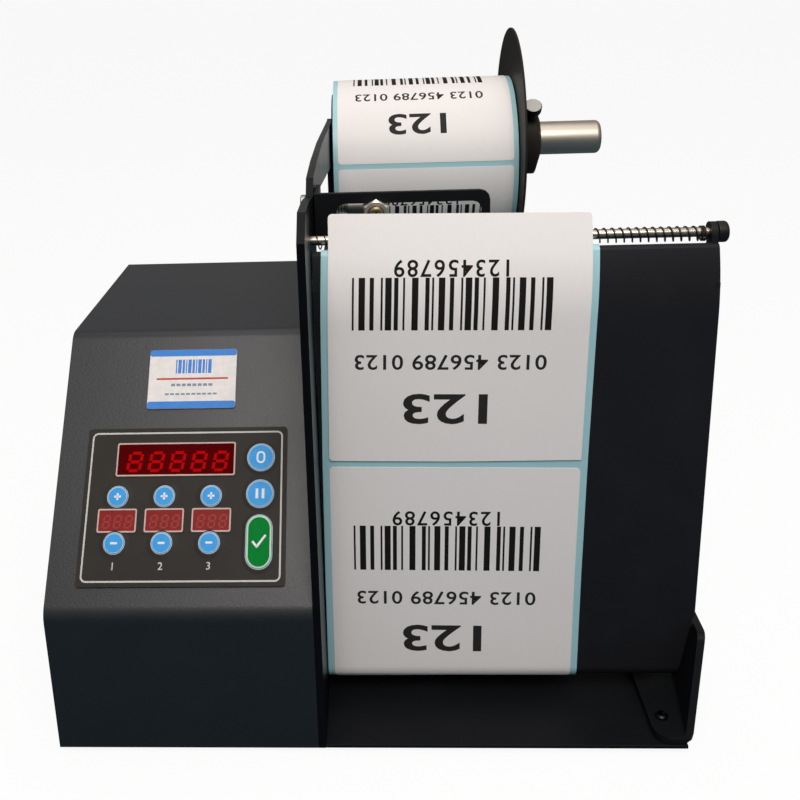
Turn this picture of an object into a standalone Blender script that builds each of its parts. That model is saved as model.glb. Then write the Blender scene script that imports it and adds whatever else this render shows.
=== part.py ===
"""A desk label dispenser: a keypad box, a side plate with a roll arm, an apron with a peel edge,
a sensor on a slotted bracket, a spring-wound guide rod, and a driven liner rewinder.

X runs to the right, Y away from the operator, Z up, in metres. Every place below is measured from the
lower front corner of the side plate's left face; the whole machine then hangs on one empty, which puts
the origin in the middle of the footprint, on the desk."""

import math

import bmesh
import bpy
from mathutils import Matrix, Vector

# Clearances and cuts shared by all pieces
GAP = 0.0003
OVERRUN = 0.004
WELD = 0.000001
RUNNING_GAP = 0.0004

# Sheet metal
SHEET = 0.0015
FRAME_THICKNESS = 0.003

# Control box
BOX_WIDTH = 0.1067
BOX_DEPTH = 0.1823
BOX_FRONT_HEIGHT = 0.063
BOX_HEIGHT = 0.1534
SLOPE_DEPTH = 0.0764
FOLD_ROUNDING = 0.004
SIDE_ROUNDING = 0.0008

# Keypad, measured on the sloping panel: across from the box's right side, and up from the lower fold
OVERLAY_WIDTH = 0.084
OVERLAY_HEIGHT = 0.064
OVERLAY_ACROSS = 0.053
OVERLAY_UP = 0.0426
OVERLAY_THICKNESS = 0.0008
OVERLAY_CORNER = 0.0012
COLUMN_ACROSS = 0.0805
COLUMN_PITCH = 0.01935
PLUS_UP = 0.0461
MINUS_UP = 0.0275
SMALL_KEY_RADIUS = 0.00405
LARGE_KEY_RADIUS = 0.0054
RIGHT_COLUMN_ACROSS = 0.0217
RESET_UP = 0.0617
PAUSE_UP = 0.0468
CONFIRM_UP = 0.0277
CONFIRM_LENGTH = 0.0208
CONFIRM_WIDTH = 0.0102
KEY_PROUD = 0.0006
KEY_TRAVEL = 0.0007
KEY_FLANGE = 0.0009
KEY_FLANGE_THICKNESS = 0.0008
KEY_ROUNDING = 0.0003
COUNTER_WIDTH = 0.0495
COUNTER_HEIGHT = 0.0136
COUNTER_ACROSS = 0.0574
COUNTER_UP = 0.0616
SETTING_WIDTH = 0.0167
SETTING_HEIGHT = 0.0097
SETTING_UP = 0.0368
WINDOW_CORNER = 0.0006
WINDOW_PROUD = 0.0002
WINDOW_DEPTH = 0.0011
NAME_PLATE_WIDTH = 0.038
NAME_PLATE_HEIGHT = 0.0263
NAME_PLATE_ACROSS = 0.0524
NAME_PLATE_UP = 0.0962
NAME_PLATE_THICKNESS = 0.0007
BOARD_THICKNESS = 0.0016
BOARD_DEPTH = 0.0095
BOARD_MARGIN = 0.003
SWITCH_SIDE = 0.006
SWITCH_GAP = 0.0003
DISPLAY_MARGIN = 0.0008
DISPLAY_TOP = 0.0014
POST_RADIUS = 0.0022

# Rear of the box
INLET_RADIUS = 0.0055
INLET_FLANGE_RADIUS = 0.0075
INLET_FLANGE_THICKNESS = 0.0018
INLET_LENGTH = 0.014
INLET_BORE_RADIUS = 0.0032
INLET_BORE_DEPTH = 0.0095
INLET_PIN_RADIUS = 0.00105
INLET_ACROSS = 0.030
INLET_HEIGHT = 0.026
ROCKER_WIDTH = 0.0125
ROCKER_HEIGHT = 0.0195
ROCKER_ACROSS = 0.062
ROCKER_UP = 0.028
ROCKER_PROUD = 0.0022
ROCKER_DEPTH = 0.007
ROCKER_TILT = math.radians(9)

# Feet
FOOT_RADIUS = 0.008
FOOT_HEIGHT = 0.003
FOOT_TAPER = 0.0008
FOOT_INSET = 0.028

# Side plate: heights and depths of its outline
FRAME_TOP = 0.222
FRAME_FRONT_TOP = 0.213
FRAME_TOP_FRONT = 0.0095
NOTCH_START = 0.032
NOTCH_DEEP = 0.058
NOTCH_END = 0.064
NOTCH_DROP = 0.005
ARM_CREST = 0.095
ARM_RISE = 0.0022
ARM_FALL_START = 0.150
WINDOW_FRONT = 0.068
WINDOW_MARGIN = 0.0065
WINDOW_SILL = 0.159
WINDOW_ROUNDING = 0.006
UPRIGHT_AHEAD = 0.020
UPRIGHT_BEHIND = 0.037

# Label roll, its shaft and flanges
SHAFT_Y = 0.276
SHAFT_Z = 0.2006
SHAFT_RADIUS = 0.010
SHAFT_END = 0.1653
SHAFT_CHAMFER = 0.0008
SPIGOT_RADIUS = 0.006
BOSS_RADIUS = 0.0155
SHAFT_SCREW_HEAD_RADIUS = 0.0065
SHAFT_SCREW_HEAD_THICKNESS = 0.0026
SHAFT_SCREW_RADIUS = 0.003
SHAFT_SCREW_LENGTH = 0.012
HEX_KEY_RADIUS = 0.0023
HEX_KEY_DEPTH = 0.0015
CORE_RADIUS = 0.020
CORE_WALL = 0.0025
ROLL_RADIUS = 0.048
INNER_FLANGE_RADIUS = 0.030
INNER_FLANGE_THICKNESS = 0.0009
DISC_RADIUS = 0.0665
DISC_THICKNESS = 0.0012
DISC_ROUNDING = 0.0004
HUB_RADIUS = 0.0215
HUB_LENGTH = 0.0162
HUB_CHAMFER = 0.0030
HUB_FACE_RADIUS = 0.0130
THUMB_ANGLE = math.radians(45)
THUMB_HEAD_RADIUS = 0.00515
THUMB_HEAD_LENGTH = 0.0050
THUMB_NECK = 0.0065
THUMB_FROM_DISC = 0.0095
THUMB_SHANK_RADIUS = 0.0025
THUMB_KNURLS = 18
THUMB_KNURL_SHARE = 0.95

# Web: the backing strip with its labels
WEB_THICKNESS = 0.0003
LABEL_SIDE = 0.100
LINER_MARGIN = 0.00275
LABEL_THICKNESS = 0.0003
LABEL_GAP_HEIGHT = 0.1139

# Apron
APRON_Y = 0.0289
APRON_LEFT = 0.0034
APRON_RIGHT = 0.1567
APRON_SHEET = 0.0015
APRON_BOTTOM = 0.009
APRON_CURL_RADIUS = 0.007
APRON_LEAN_START = 0.173
APRON_LEAN_RADIUS = 0.075
NOSE_HEIGHT = 0.1985
NOSE_RADIUS = 0.0022
NOSE_RETURN = 0.009
APRON_FLANGE_DEPTH = 0.0085
APRON_FLANGE_BOTTOM = 0.050
APRON_FLANGE_TOP = 0.186

# Guide rod over the peel edge
ROD_Y = 0.0397
ROD_Z = 0.2032
ROD_RADIUS = 0.0018
ROD_EYE_RADIUS = 0.004
ROD_EYE_WIDTH = 0.0025
END_CAP_RADIUS = 0.0041
END_CAP_LENGTH = 0.0041
SPRING_MEAN_RADIUS = 0.00275
SPRING_SAG = 0.0002
SPRING_WIRE_RADIUS = 0.0004
SPRING_TURNS = 48
SPRING_TURN_POINTS = 8
SPRING_END_GAP = 0.0012

# Sensor and its slotted bracket
BRACKET_Y = 0.056
BRACKET_TOP = 0.2182
BRACKET_BOTTOM = 0.199
BRACKET_RIGHT = 0.0736
BRACKET_SHEET = 0.002
BRACKET_CORNER = 0.004
BRACKET_FLANGE_DEPTH = 0.018
SLOT_LEFT = 0.0122
SLOT_RIGHT = 0.0703
SENSOR_X = 0.0281
SENSOR_Z = 0.2101
SENSOR_RADIUS = 0.003
SENSOR_LENGTH = 0.030
SENSOR_FRONT = 0.0495
NUT_FLATS = 0.010
NUT_THICKNESS = 0.003
STUD_RADIUS = 0.003
STUD_SHANK_RADIUS = 0.0035
STUD_Y = 0.0675
STUD_THREAD_END = 0.0165
STUD_END = 0.0233
STUD_HEAD_THICKNESS = 0.0025
STUD_HEAD_RADIUS = 0.0052
LEAD_RADIUS = 0.0014
LEAD_HOLE_RADIUS = 0.0022
LEAD_HOLE_Y = 0.100
LEAD_HOLE_Z = 0.125
LEAD_POINTS = 32
# From the barrel's rear end: right, back and up to each point of the free stretch
LEAD_FREE_ROUTE = (
    (0.0, 0.0, 0.0),
    (0.0, 0.006, 0.0),
    (0.0, 0.014, -0.010),
    (-0.001, 0.016, -0.032),
    (-0.004, 0.018, -0.058),
    (-0.011, 0.0205, -0.075),
)
# From the hole in the side plate: right, back and up to each point inside the box
LEAD_HIDDEN_ROUTE = (
    (0.008, 0.0, 0.0),
    (-0.004, 0.0, 0.0),
    (-0.011, -0.006, 0.0),
    (-0.015, -0.016, -0.003),
)
LEAD_END_ACROSS = 0.0165
LEAD_END_UP = 0.0735
LEAD_END_DROP = 0.006
LEAD_END_GAP = 0.0008

# Base plate and right-hand end bracket
BASE_RIGHT = 0.148
BASE_BEHIND = 0.001
BASE_FLANGE_HEIGHT = 0.014
BASE_FLANGE_FRONT = 0.055
BASE_FLANGE_INSET = 0.020
END_FOOT_LEFT = 0.1353
END_FRONT = 0.0006
END_INNER_X = 0.1470
END_TOE = math.radians(8.25)
END_LEAN = math.radians(8.8)
END_SHEET = 0.003
END_BEND_RADIUS = 0.0035
END_FOOT_CORNER = 0.006
END_CORNER = 0.004
# The ear's upper edge from front to back: depth and height
END_TOP = ((0.0006, 0.004), (0.0185, 0.0400), (0.0450, 0.0345), (0.0700, 0.0345))
FOOT_SCREW_X = 0.1405
FOOT_SCREW_Y = 0.0124
FOOT_SCREW_HEAD_RADIUS = 0.0026
FOOT_SCREW_HEAD_THICKNESS = 0.0014
FOOT_SCREW_RADIUS = 0.0014
CROSS_WIDTH = 0.0007
CROSS_LENGTH = 0.0028
CROSS_DEPTH = 0.0006

# Liner drive
ROLLER_LEFT = 0.0060
ROLLER_RIGHT = 0.146
DRIVE_Y = 0.060
DRIVE_Z = 0.030
DRIVE_RADIUS = 0.012
DRIVE_SHAFT_RADIUS = 0.003
PINCH_RADIUS = 0.008
PINCH_SHAFT_RADIUS = 0.0025
JOURNAL_OVERHANG = 0.0012
REWIND_Y = 0.130
REWIND_Z = 0.100
REWIND_RADIUS = 0.008
REWIND_SHAFT_RADIUS = 0.003
REWIND_END = 0.1135
LINER_ROLL_RADIUS = 0.020
WEB_ROD_INSET = 0.010
WEB_ROD_RADIUS = 0.005
WEB_ROD_END = 0.1165
WEB_ROD_COLLAR = 0.0018
MOTOR_Y = 0.100
MOTOR_Z = 0.045
MOTOR_RADIUS = 0.0185
MOTOR_FACE = 0.028
MOTOR_LENGTH = 0.056
MOTOR_COLLAR_RADIUS = 0.006
MOTOR_COLLAR_LENGTH = 0.0015
MOTOR_BRACKET_SHEET = 0.002
MOTOR_BRACKET_MARGIN = 0.004
PULLEY_START = 0.006
PULLEY_WIDTH = 0.006
PULLEY_FLANGE = 0.0012
BELT_RADIUS = 0.0013
MOTOR_PULLEY_RADIUS = 0.008
ROLLER_PULLEY_RADIUS = 0.016
REWIND_DRIVER_RADIUS = 0.010
REWIND_PULLEY_RADIUS = 0.014

# Finishes: colour, roughness, metallic
FINISHES = {
    "black_powder_coat": ((0.018, 0.018, 0.019), 0.55, 0.0),
    "black_anodised": ((0.02, 0.02, 0.021), 0.40, 0.4),
    "brushed_steel": ((0.62, 0.60, 0.57), 0.32, 1.0),
    "spring_steel": ((0.10, 0.09, 0.08), 0.40, 1.0),
    "brass": ((0.72, 0.52, 0.24), 0.30, 1.0),
    "blue_key": ((0.05, 0.30, 0.70), 0.45, 0.0),
    "green_key": ((0.005, 0.25, 0.03), 0.45, 0.0),
    "overlay_film": ((0.05, 0.05, 0.055), 0.50, 0.0),
    "red_window": ((0.16, 0.01, 0.01), 0.20, 0.0),
    "white_plate": ((0.80, 0.81, 0.82), 0.35, 0.0),
    "black_plastic": ((0.015, 0.015, 0.016), 0.45, 0.0),
    "board_green": ((0.01, 0.16, 0.06), 0.50, 0.0),
    "black_rubber": ((0.02, 0.02, 0.02), 0.85, 0.0),
    "cardboard": ((0.42, 0.30, 0.19), 0.80, 0.0),
    "label_paper": ((0.82, 0.79, 0.77), 0.60, 0.0),
    "blue_liner": ((0.22, 0.48, 0.53), 0.40, 0.0),
}

# Worked out from the sizes above
SLOPE_RISE = BOX_HEIGHT - BOX_FRONT_HEIGHT
SLOPE_ANGLE = math.atan2(SLOPE_RISE, SLOPE_DEPTH)
BOX_LEFT = -GAP - BOX_WIDTH
ROLL_WIDTH = LABEL_SIDE + LINER_MARGIN + LINER_MARGIN
UPRIGHT_FRONT = SHAFT_Y - UPRIGHT_AHEAD
UPRIGHT_REAR = SHAFT_Y + UPRIGHT_BEHIND
BASE_DEPTH = UPRIGHT_REAR + BASE_BEHIND
BASE_FLANGE_REAR = BASE_DEPTH - BASE_FLANGE_INSET
WEB_ROD_Y = BASE_DEPTH - WEB_ROD_INSET
ROLL_LEFT = FRAME_THICKNESS + GAP + INNER_FLANGE_THICKNESS + GAP + GAP
ROLL_Z = SHAFT_Z + SHAFT_RADIUS + RUNNING_GAP - CORE_RADIUS
DISC_LEFT = ROLL_LEFT + ROLL_WIDTH + GAP + GAP
HUB_LEFT = DISC_LEFT + DISC_THICKNESS
THUMB_X = HUB_LEFT + THUMB_FROM_DISC
WEB_LEFT = ROLL_LEFT
WEB_SKIN = GAP + WEB_THICKNESS / 2
LEAN_ANGLE = math.asin((NOSE_HEIGHT - APRON_LEAN_START) / APRON_LEAN_RADIUS)
PINCH_Y = DRIVE_Y - DRIVE_RADIUS - PINCH_RADIUS - WEB_THICKNESS - GAP - GAP
WEB_FLOOR = APRON_BOTTOM - WEB_SKIN
WEB_ROD_Z = WEB_FLOOR + WEB_SKIN + WEB_ROD_RADIUS
FRONT_EDGE = 0.0
REAR_EDGE = max(SHAFT_Y + DISC_RADIUS, SHAFT_Y + ROLL_RADIUS + WEB_SKIN + WEB_THICKNESS)
MIDDLE_X = (BOX_LEFT + SHAFT_END) / 2
MIDDLE_Y = (FRONT_EDGE + REAR_EDGE) / 2

SEGMENTS = 32
FINE_SEGMENTS = 56
SMALL_SEGMENTS = 16
CORNER_STEPS = 3
LEAN_STEPS = 6
CURL_STEPS = 10
KEY_STEPS = 8
FOLD_STEPS = 5
WINDOW_STEPS = 2
PULLEY_SEGMENTS = 20
BEVEL_ANGLE = math.radians(60)
SMOOTH_ANGLE = math.radians(30)
FULL_TURN = 2 * math.pi
QUARTER_TURN = math.pi / 2
HEX_SIDES = 6
HEX_HALF_SIDE = math.pi / HEX_SIDES


# Scene, collections and finishes


def clear_scene():
    """Removes whatever the scene holds."""
    for item in list(bpy.data.objects):
        bpy.data.objects.remove(item)


def collection(name):
    made = bpy.data.collections.new(name)
    bpy.context.scene.collection.children.link(made)
    return made


def finish(name):
    """The Principled material of this finish, made once."""
    if name in bpy.data.materials:
        return bpy.data.materials[name]
    colour, roughness, metallic = FINISHES[name]
    made = bpy.data.materials.new(name)
    made.use_nodes = True
    shader = made.node_tree.nodes["Principled BSDF"]
    shader.inputs["Base Color"].default_value = (*colour, 1)
    shader.inputs["Roughness"].default_value = roughness
    shader.inputs["Metallic"].default_value = metallic
    made.diffuse_color = (*colour, 1)
    return made


clear_scene()
PARTS = collection("label_dispenser")
CUTTERS = collection("cutters")
MACHINE = bpy.data.objects.new("machine", None)
MACHINE.location = (-MIDDLE_X, -MIDDLE_Y, FOOT_HEIGHT)
PARTS.objects.link(MACHINE)
REST = {MACHINE.name: Matrix.Identity(4)}


# Frames: where a piece's own axes lie in the machine


def place(x, y, z):
    return Matrix.Translation((x, y, z))


def along_x(x, y, z):
    """A frame whose Z runs along the machine's X, its X along Y and its Y along Z."""
    turn = Matrix(((0, 0, 1), (1, 0, 0), (0, 1, 0))).to_4x4()
    return place(x, y, z) @ turn


def along_y(x, y, z):
    """A frame whose Z runs along the machine's Y, its X along X and its Y down."""
    turn = Matrix(((1, 0, 0), (0, 0, 1), (0, -1, 0))).to_4x4()
    return place(x, y, z) @ turn


def facing_front(x, y, z):
    """A frame whose Z runs towards the operator, its X along X and its Y up."""
    turn = Matrix(((1, 0, 0), (0, 0, -1), (0, 1, 0))).to_4x4()
    return place(x, y, z) @ turn


def on_panel(across, up, out=0.0):
    """A frame on the sloping panel: X to the right, Y up the slope, Z out of it."""
    fold = place(0.0, FRONT_EDGE, BOX_FRONT_HEIGHT) @ Matrix.Rotation(SLOPE_ANGLE, 4, "X")
    return fold @ place(-across, up, out)


# Making objects


def add(name, data, frame, material=None, parent=None):
    """An object of this data in this frame of the machine; with no finish it is a cutter."""
    made = bpy.data.objects.new(name, data)
    if material is None:
        CUTTERS.objects.link(made)
        made.hide_render = True
        made.display_type = "WIRE"
    else:
        PARTS.objects.link(made)
        data.materials.append(finish(material))
    held_by = parent or MACHINE
    made.parent = held_by
    made.matrix_local = REST[held_by.name].inverted() @ frame
    REST[made.name] = frame
    return made


def smooth(mesh):
    mesh.shade_smooth()
    mesh.set_sharp_from_angle(angle=SMOOTH_ANGLE)


def box_mesh(name, size):
    """A box of this size, centred on its origin."""
    shape = bmesh.new()
    bmesh.ops.create_cube(shape, size=1, matrix=Matrix.Diagonal((*size, 1)))
    mesh = bpy.data.meshes.new(name)
    shape.to_mesh(mesh)
    shape.free()
    return mesh


def block(name, low, high, material=None, parent=None):
    """A box from its low to its high corner."""
    low, high = Vector(low), Vector(high)
    middle = (low + high) / 2
    return add(name, box_mesh(name, high - low), place(*middle), material, parent)


def cylinder_mesh(name, radius, length, segments=SEGMENTS):
    """A cylinder along Z from its origin."""
    shape = bmesh.new()
    lift = Matrix.Translation((0, 0, length / 2))
    bmesh.ops.create_cone(
        shape, cap_ends=True, segments=segments, radius1=radius, radius2=radius, depth=length, matrix=lift
    )
    mesh = bpy.data.meshes.new(name)
    shape.to_mesh(mesh)
    shape.free()
    smooth(mesh)
    return mesh


def cylinder(name, radius, length, frame, material=None, parent=None, segments=SEGMENTS):
    return add(name, cylinder_mesh(name, radius, length, segments), frame, material, parent)


def turned(name, profile, frame, material=None, parent=None, segments=SEGMENTS, bored=False):
    """A profile of (height, radius) pairs from top to bottom, turned about Z; a bored one is closed."""
    mesh = bpy.data.meshes.new(name)
    points = [(radius, 0.0, height) for height, radius in profile]
    edges = [(i, i + 1) for i in range(len(points) - 1)]
    if bored:
        edges.append((len(points) - 1, 0))
    mesh.from_pydata(points, edges, [])
    made = add(name, mesh, frame, material, parent)
    screw = made.modifiers.new("turn", "SCREW")
    screw.axis = "Z"
    screw.steps = segments
    screw.render_steps = segments
    screw.use_merge_vertices = True
    screw.merge_threshold = WELD
    screw.use_smooth_shade = True
    return made


def flat_mesh(name, loops, thickness):
    """Closed outlines filled and thickened to both sides of their plane; inner loops are holes."""
    curve = bpy.data.curves.new(name, "CURVE")
    curve.dimensions = "2D"
    curve.fill_mode = "BOTH"
    curve.extrude = thickness / 2
    for loop in loops:
        spline = curve.splines.new("POLY")
        spline.points.add(len(loop) - 1)
        for point, (x, y) in zip(spline.points, loop):
            point.co = (x, y, 0.0, 1)
        spline.use_cyclic_u = True
    guide = bpy.data.objects.new(name, curve)
    bpy.context.scene.collection.objects.link(guide)
    graph = bpy.context.evaluated_depsgraph_get()
    mesh = bpy.data.meshes.new_from_object(guide.evaluated_get(graph))
    bpy.data.objects.remove(guide)
    bpy.data.curves.remove(curve)
    shape = bmesh.new()
    shape.from_mesh(mesh)
    bmesh.ops.remove_doubles(shape, verts=shape.verts, dist=WELD)
    bmesh.ops.recalc_face_normals(shape, faces=shape.faces)
    shape.to_mesh(mesh)
    shape.free()
    mesh.name = name
    return mesh


def flat(name, loops, thickness, frame, material=None, parent=None):
    """A flat piece whose outlines lie in its frame's XY plane; it stands on that plane."""
    lifted = frame @ place(0.0, 0.0, thickness / 2)
    return add(name, flat_mesh(name, loops, thickness), lifted, material, parent)


def stepped(name, steps, frame, material, parent=None):
    """A solid between outlines of as many points each: (height, outline) pairs from bottom to top."""
    count = len(steps[0][1])
    points = [(x, y, height) for height, outline in steps for x, y in outline]
    faces = [tuple(range(count))[::-1], tuple(range(len(points) - count, len(points)))]
    for level in range(len(steps) - 1):
        for i in range(count):
            j = (i + 1) % count
            low, high = level * count, (level + 1) * count
            faces.append((low + i, low + j, high + j, high + i))
    mesh = bpy.data.meshes.new(name)
    mesh.from_pydata(points, [], faces)
    return add(name, mesh, frame, material, parent)


def combine(target, other, operation="DIFFERENCE"):
    """Cuts the other solid from the target, or joins it, and keeps the other only as a guide."""
    boolean = target.modifiers.new(operation.lower(), "BOOLEAN")
    boolean.operation = operation
    boolean.object = other
    return target


def round_edges(target, width, segments=2):
    bevel = target.modifiers.new("rounding", "BEVEL")
    bevel.width = width
    bevel.segments = segments
    bevel.limit_method = "ANGLE"
    bevel.angle_limit = BEVEL_ANGLE
    return target


def tube(name, points, radius, material, resolution=2, closed=False):
    """A round tube along straight runs between the points, which are places in the machine."""
    curve = bpy.data.curves.new(name, "CURVE")
    curve.dimensions = "3D"
    curve.bevel_depth = radius
    curve.bevel_resolution = resolution
    curve.use_fill_caps = not closed
    spline = curve.splines.new("POLY")
    spline.points.add(len(points) - 1)
    for point, place_of in zip(spline.points, points):
        point.co = (*place_of, 1)
    spline.use_cyclic_u = closed
    return add(name, curve, place(0.0, 0.0, 0.0), material)


# Outlines


def arc(centre, radius, start, end, steps=CORNER_STEPS):
    """Points along an arc, both ends included; angles in radians."""
    turns = [start + (end - start) * i / steps for i in range(steps + 1)]
    return [(centre[0] + radius * math.cos(a), centre[1] + radius * math.sin(a)) for a in turns]


def circle(centre, radius, segments=SMALL_SEGMENTS):
    return arc(centre, radius, 0.0, FULL_TURN, segments)[:-1]


def rounded_box(low, high, radius, steps=CORNER_STEPS):
    """A rectangle with round corners, counter-clockwise from its lower right."""
    (x0, y0), (x1, y1) = low, high
    inner = [
        ((x1 - radius, y0 + radius), -QUARTER_TURN),
        ((x1 - radius, y1 - radius), 0.0),
        ((x0 + radius, y1 - radius), QUARTER_TURN),
        ((x0 + radius, y0 + radius), math.pi),
    ]
    return [
        point for centre, start in inner for point in arc(centre, radius, start, start + QUARTER_TURN, steps)
    ]


def rectangle(width, height):
    x, y = width / 2, height / 2
    return [(-x, -y), (x, -y), (x, y), (-x, y)]


def centred_box(width, height, radius):
    return rounded_box((-width / 2, -height / 2), (width / 2, height / 2), radius, WINDOW_STEPS)


def round_corner(before, corner, after, radius, steps=CORNER_STEPS):
    """The arc that rounds one corner of a polygon."""
    corner = Vector(corner)
    one = (Vector(before) - corner).normalized()
    two = (Vector(after) - corner).normalized()
    half = one.angle(two) / 2
    reach = radius / math.tan(half)
    centre = corner + (one + two).normalized() * radius / math.sin(half)
    start = corner + one * reach - centre
    end = corner + two * reach - centre
    first = math.atan2(start.y, start.x)
    sweep = (math.atan2(end.y, end.x) - first + math.pi) % FULL_TURN - math.pi
    return arc(centre, radius, first, first + sweep, steps)


def round_all(points, radii, steps=CORNER_STEPS):
    """A polygon with each corner rounded by its own radius; zero keeps it sharp."""
    rounded = []
    for i, (point, radius) in enumerate(zip(points, radii)):
        if radius:
            rounded += round_corner(points[i - 1], point, points[(i + 1) % len(points)], radius, steps)
        else:
            rounded.append(point)
    return rounded


def strip(line, thickness):
    """The closed outline of a strip of this thickness, centred on an open line."""
    left, right = [], []
    for i, point in enumerate(line):
        before = Vector(line[max(i - 1, 0)])
        after = Vector(line[min(i + 1, len(line) - 1)])
        here = Vector(point)
        into = (here - before).normalized() if i else (after - here).normalized()
        out = (after - here).normalized() if i < len(line) - 1 else into
        normal = Vector((-into.y - out.y, into.x + out.x)).normalized()
        stretch = max(normal.dot(Vector((-into.y, into.x))), thickness / (thickness + thickness))
        offset = normal * (thickness / 2) / stretch
        left.append(tuple(here + offset))
        right.append(tuple(here - offset))
    return left + right[::-1]


def tangent_points(first, first_radius, second, second_radius, side=1):
    """Where the straight line that touches both circles on the same side meets each of them."""
    first, second = Vector(first), Vector(second)
    apart = second - first
    lean = math.acos((first_radius - second_radius) / apart.length)
    heading = math.atan2(apart.y, apart.x) + side * lean
    out = Vector((math.cos(heading), math.sin(heading)))
    return first + out * first_radius, second + out * second_radius, heading


# Control box


def box_profile(inset, over):
    """The side view of the box, drawn in by a wall and run over the open bottom and rear."""
    run = inset * math.tan((QUARTER_TURN - SLOPE_ANGLE) / 2)
    turn = inset * math.tan(SLOPE_ANGLE / 2)
    points = [
        (FRONT_EDGE + inset, -over),
        (BOX_DEPTH + over, -over),
        (BOX_DEPTH + over, BOX_HEIGHT - inset),
        (SLOPE_DEPTH + turn, BOX_HEIGHT - inset),
        (FRONT_EDGE + inset, BOX_FRONT_HEIGHT - run),
    ]
    fold = FOLD_ROUNDING - inset
    return round_all(points, [0.0, 0.0, 0.0, fold, fold], FOLD_STEPS)


def make_housing():
    """The folded cover: front, slope, top and left wall in one; open below, behind and to the side plate."""
    shell = flat(
        "housing_shell",
        [box_profile(0.0, 0.0)],
        BOX_WIDTH,
        along_x(BOX_LEFT, 0.0, 0.0),
        "black_powder_coat",
    )
    round_edges(shell, SIDE_ROUNDING)
    hollow = flat("box_hollow", [box_profile(SHEET, OVERRUN)], BOX_WIDTH, along_x(BOX_LEFT + SHEET, 0.0, 0.0))
    combine(shell, hollow)
    for cutter in panel_cutters("shell", -SHEET - OVERRUN, SHEET + OVERRUN + OVERRUN, GAP):
        combine(shell, cutter)
    return shell


def key_places():
    """Every key: name, across, up, length and width of its stem, and finish."""
    keys = []
    for column in range(3):
        across = COLUMN_ACROSS - column * COLUMN_PITCH
        small = 2 * SMALL_KEY_RADIUS
        keys.append((f"plus_key_{column + 1}", across, PLUS_UP, small, small, "blue_key"))
        keys.append((f"minus_key_{column + 1}", across, MINUS_UP, small, small, "blue_key"))
    large = 2 * LARGE_KEY_RADIUS
    keys.append(("reset_key", RIGHT_COLUMN_ACROSS, RESET_UP, large, large, "blue_key"))
    keys.append(("pause_key", RIGHT_COLUMN_ACROSS, PAUSE_UP, large, large, "blue_key"))
    keys.append(("confirm_key", RIGHT_COLUMN_ACROSS, CONFIRM_UP, CONFIRM_LENGTH, CONFIRM_WIDTH, "green_key"))
    return keys


def window_places():
    """Every display window: name, across, up, width and height."""
    windows = [("counter_window", COUNTER_ACROSS, COUNTER_UP, COUNTER_WIDTH, COUNTER_HEIGHT)]
    for column in range(3):
        across = COLUMN_ACROSS - column * COLUMN_PITCH
        windows.append((f"setting_window_{column + 1}", across, SETTING_UP, SETTING_WIDTH, SETTING_HEIGHT))
    return windows


def stadium(length, width, grow=0.0):
    """A key's outline, upright: straight sides and round ends, a circle where both sizes agree."""
    radius = width / 2 + grow
    reach = (length - width) / 2
    top = arc((0.0, reach), radius, 0.0, math.pi, KEY_STEPS)
    bottom = arc((0.0, -reach), radius, math.pi, FULL_TURN, KEY_STEPS)
    return top + bottom if reach > WELD else top + bottom[1:-1]


def panel_cutters(owner, low, depth, grow):
    """One cutter for each key and window, from this level of the panel, this deep."""
    made = []
    for name, across, up, length, width, _ in key_places():
        outline = stadium(length, width, grow)
        made.append(flat(f"{owner}_{name}_hole", [outline], depth, on_panel(across, up, low)))
    for name, across, up, width, height in window_places():
        outline = centred_box(width + 2 * grow, height + 2 * grow, WINDOW_CORNER)
        made.append(flat(f"{owner}_{name}_hole", [outline], depth, on_panel(across, up, low)))
    return made


def make_keypad():
    """The overlay film with its holes, and a window or a flanged key in each."""
    outline = centred_box(OVERLAY_WIDTH, OVERLAY_HEIGHT, OVERLAY_CORNER)
    film = on_panel(OVERLAY_ACROSS, OVERLAY_UP, GAP)
    overlay = flat("keypad_overlay", [outline], OVERLAY_THICKNESS, film, "overlay_film")
    for cutter in panel_cutters("overlay", -OVERRUN, OVERRUN + OVERRUN, GAP):
        combine(overlay, cutter)
    top = GAP + OVERLAY_THICKNESS
    for name, across, up, width, height in window_places():
        depth = top + WINDOW_PROUD + WINDOW_DEPTH
        window = centred_box(width, height, WINDOW_CORNER)
        flat(name, [window], depth, on_panel(across, up, -WINDOW_DEPTH), "red_window")
    for name, across, up, length, width, colour in key_places():
        low = -SHEET - GAP - KEY_FLANGE_THICKNESS
        flange = stadium(length, width, KEY_FLANGE)
        stem = stadium(length, width)
        crown = stadium(length, width, -KEY_ROUNDING)
        height = top + KEY_PROUD - low
        steps = [
            (0.0, flange),
            (KEY_FLANGE_THICKNESS, flange),
            (KEY_FLANGE_THICKNESS, stem),
            (height - KEY_ROUNDING, stem),
            (height, crown),
        ]
        stepped(name, steps, on_panel(across, up, low), colour)
    plate = centred_box(NAME_PLATE_WIDTH, NAME_PLATE_HEIGHT, OVERLAY_CORNER)
    plate_frame = on_panel(NAME_PLATE_ACROSS, NAME_PLATE_UP, GAP)
    flat("name_plate", [plate], NAME_PLATE_THICKNESS, plate_frame, "white_plate")


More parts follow.
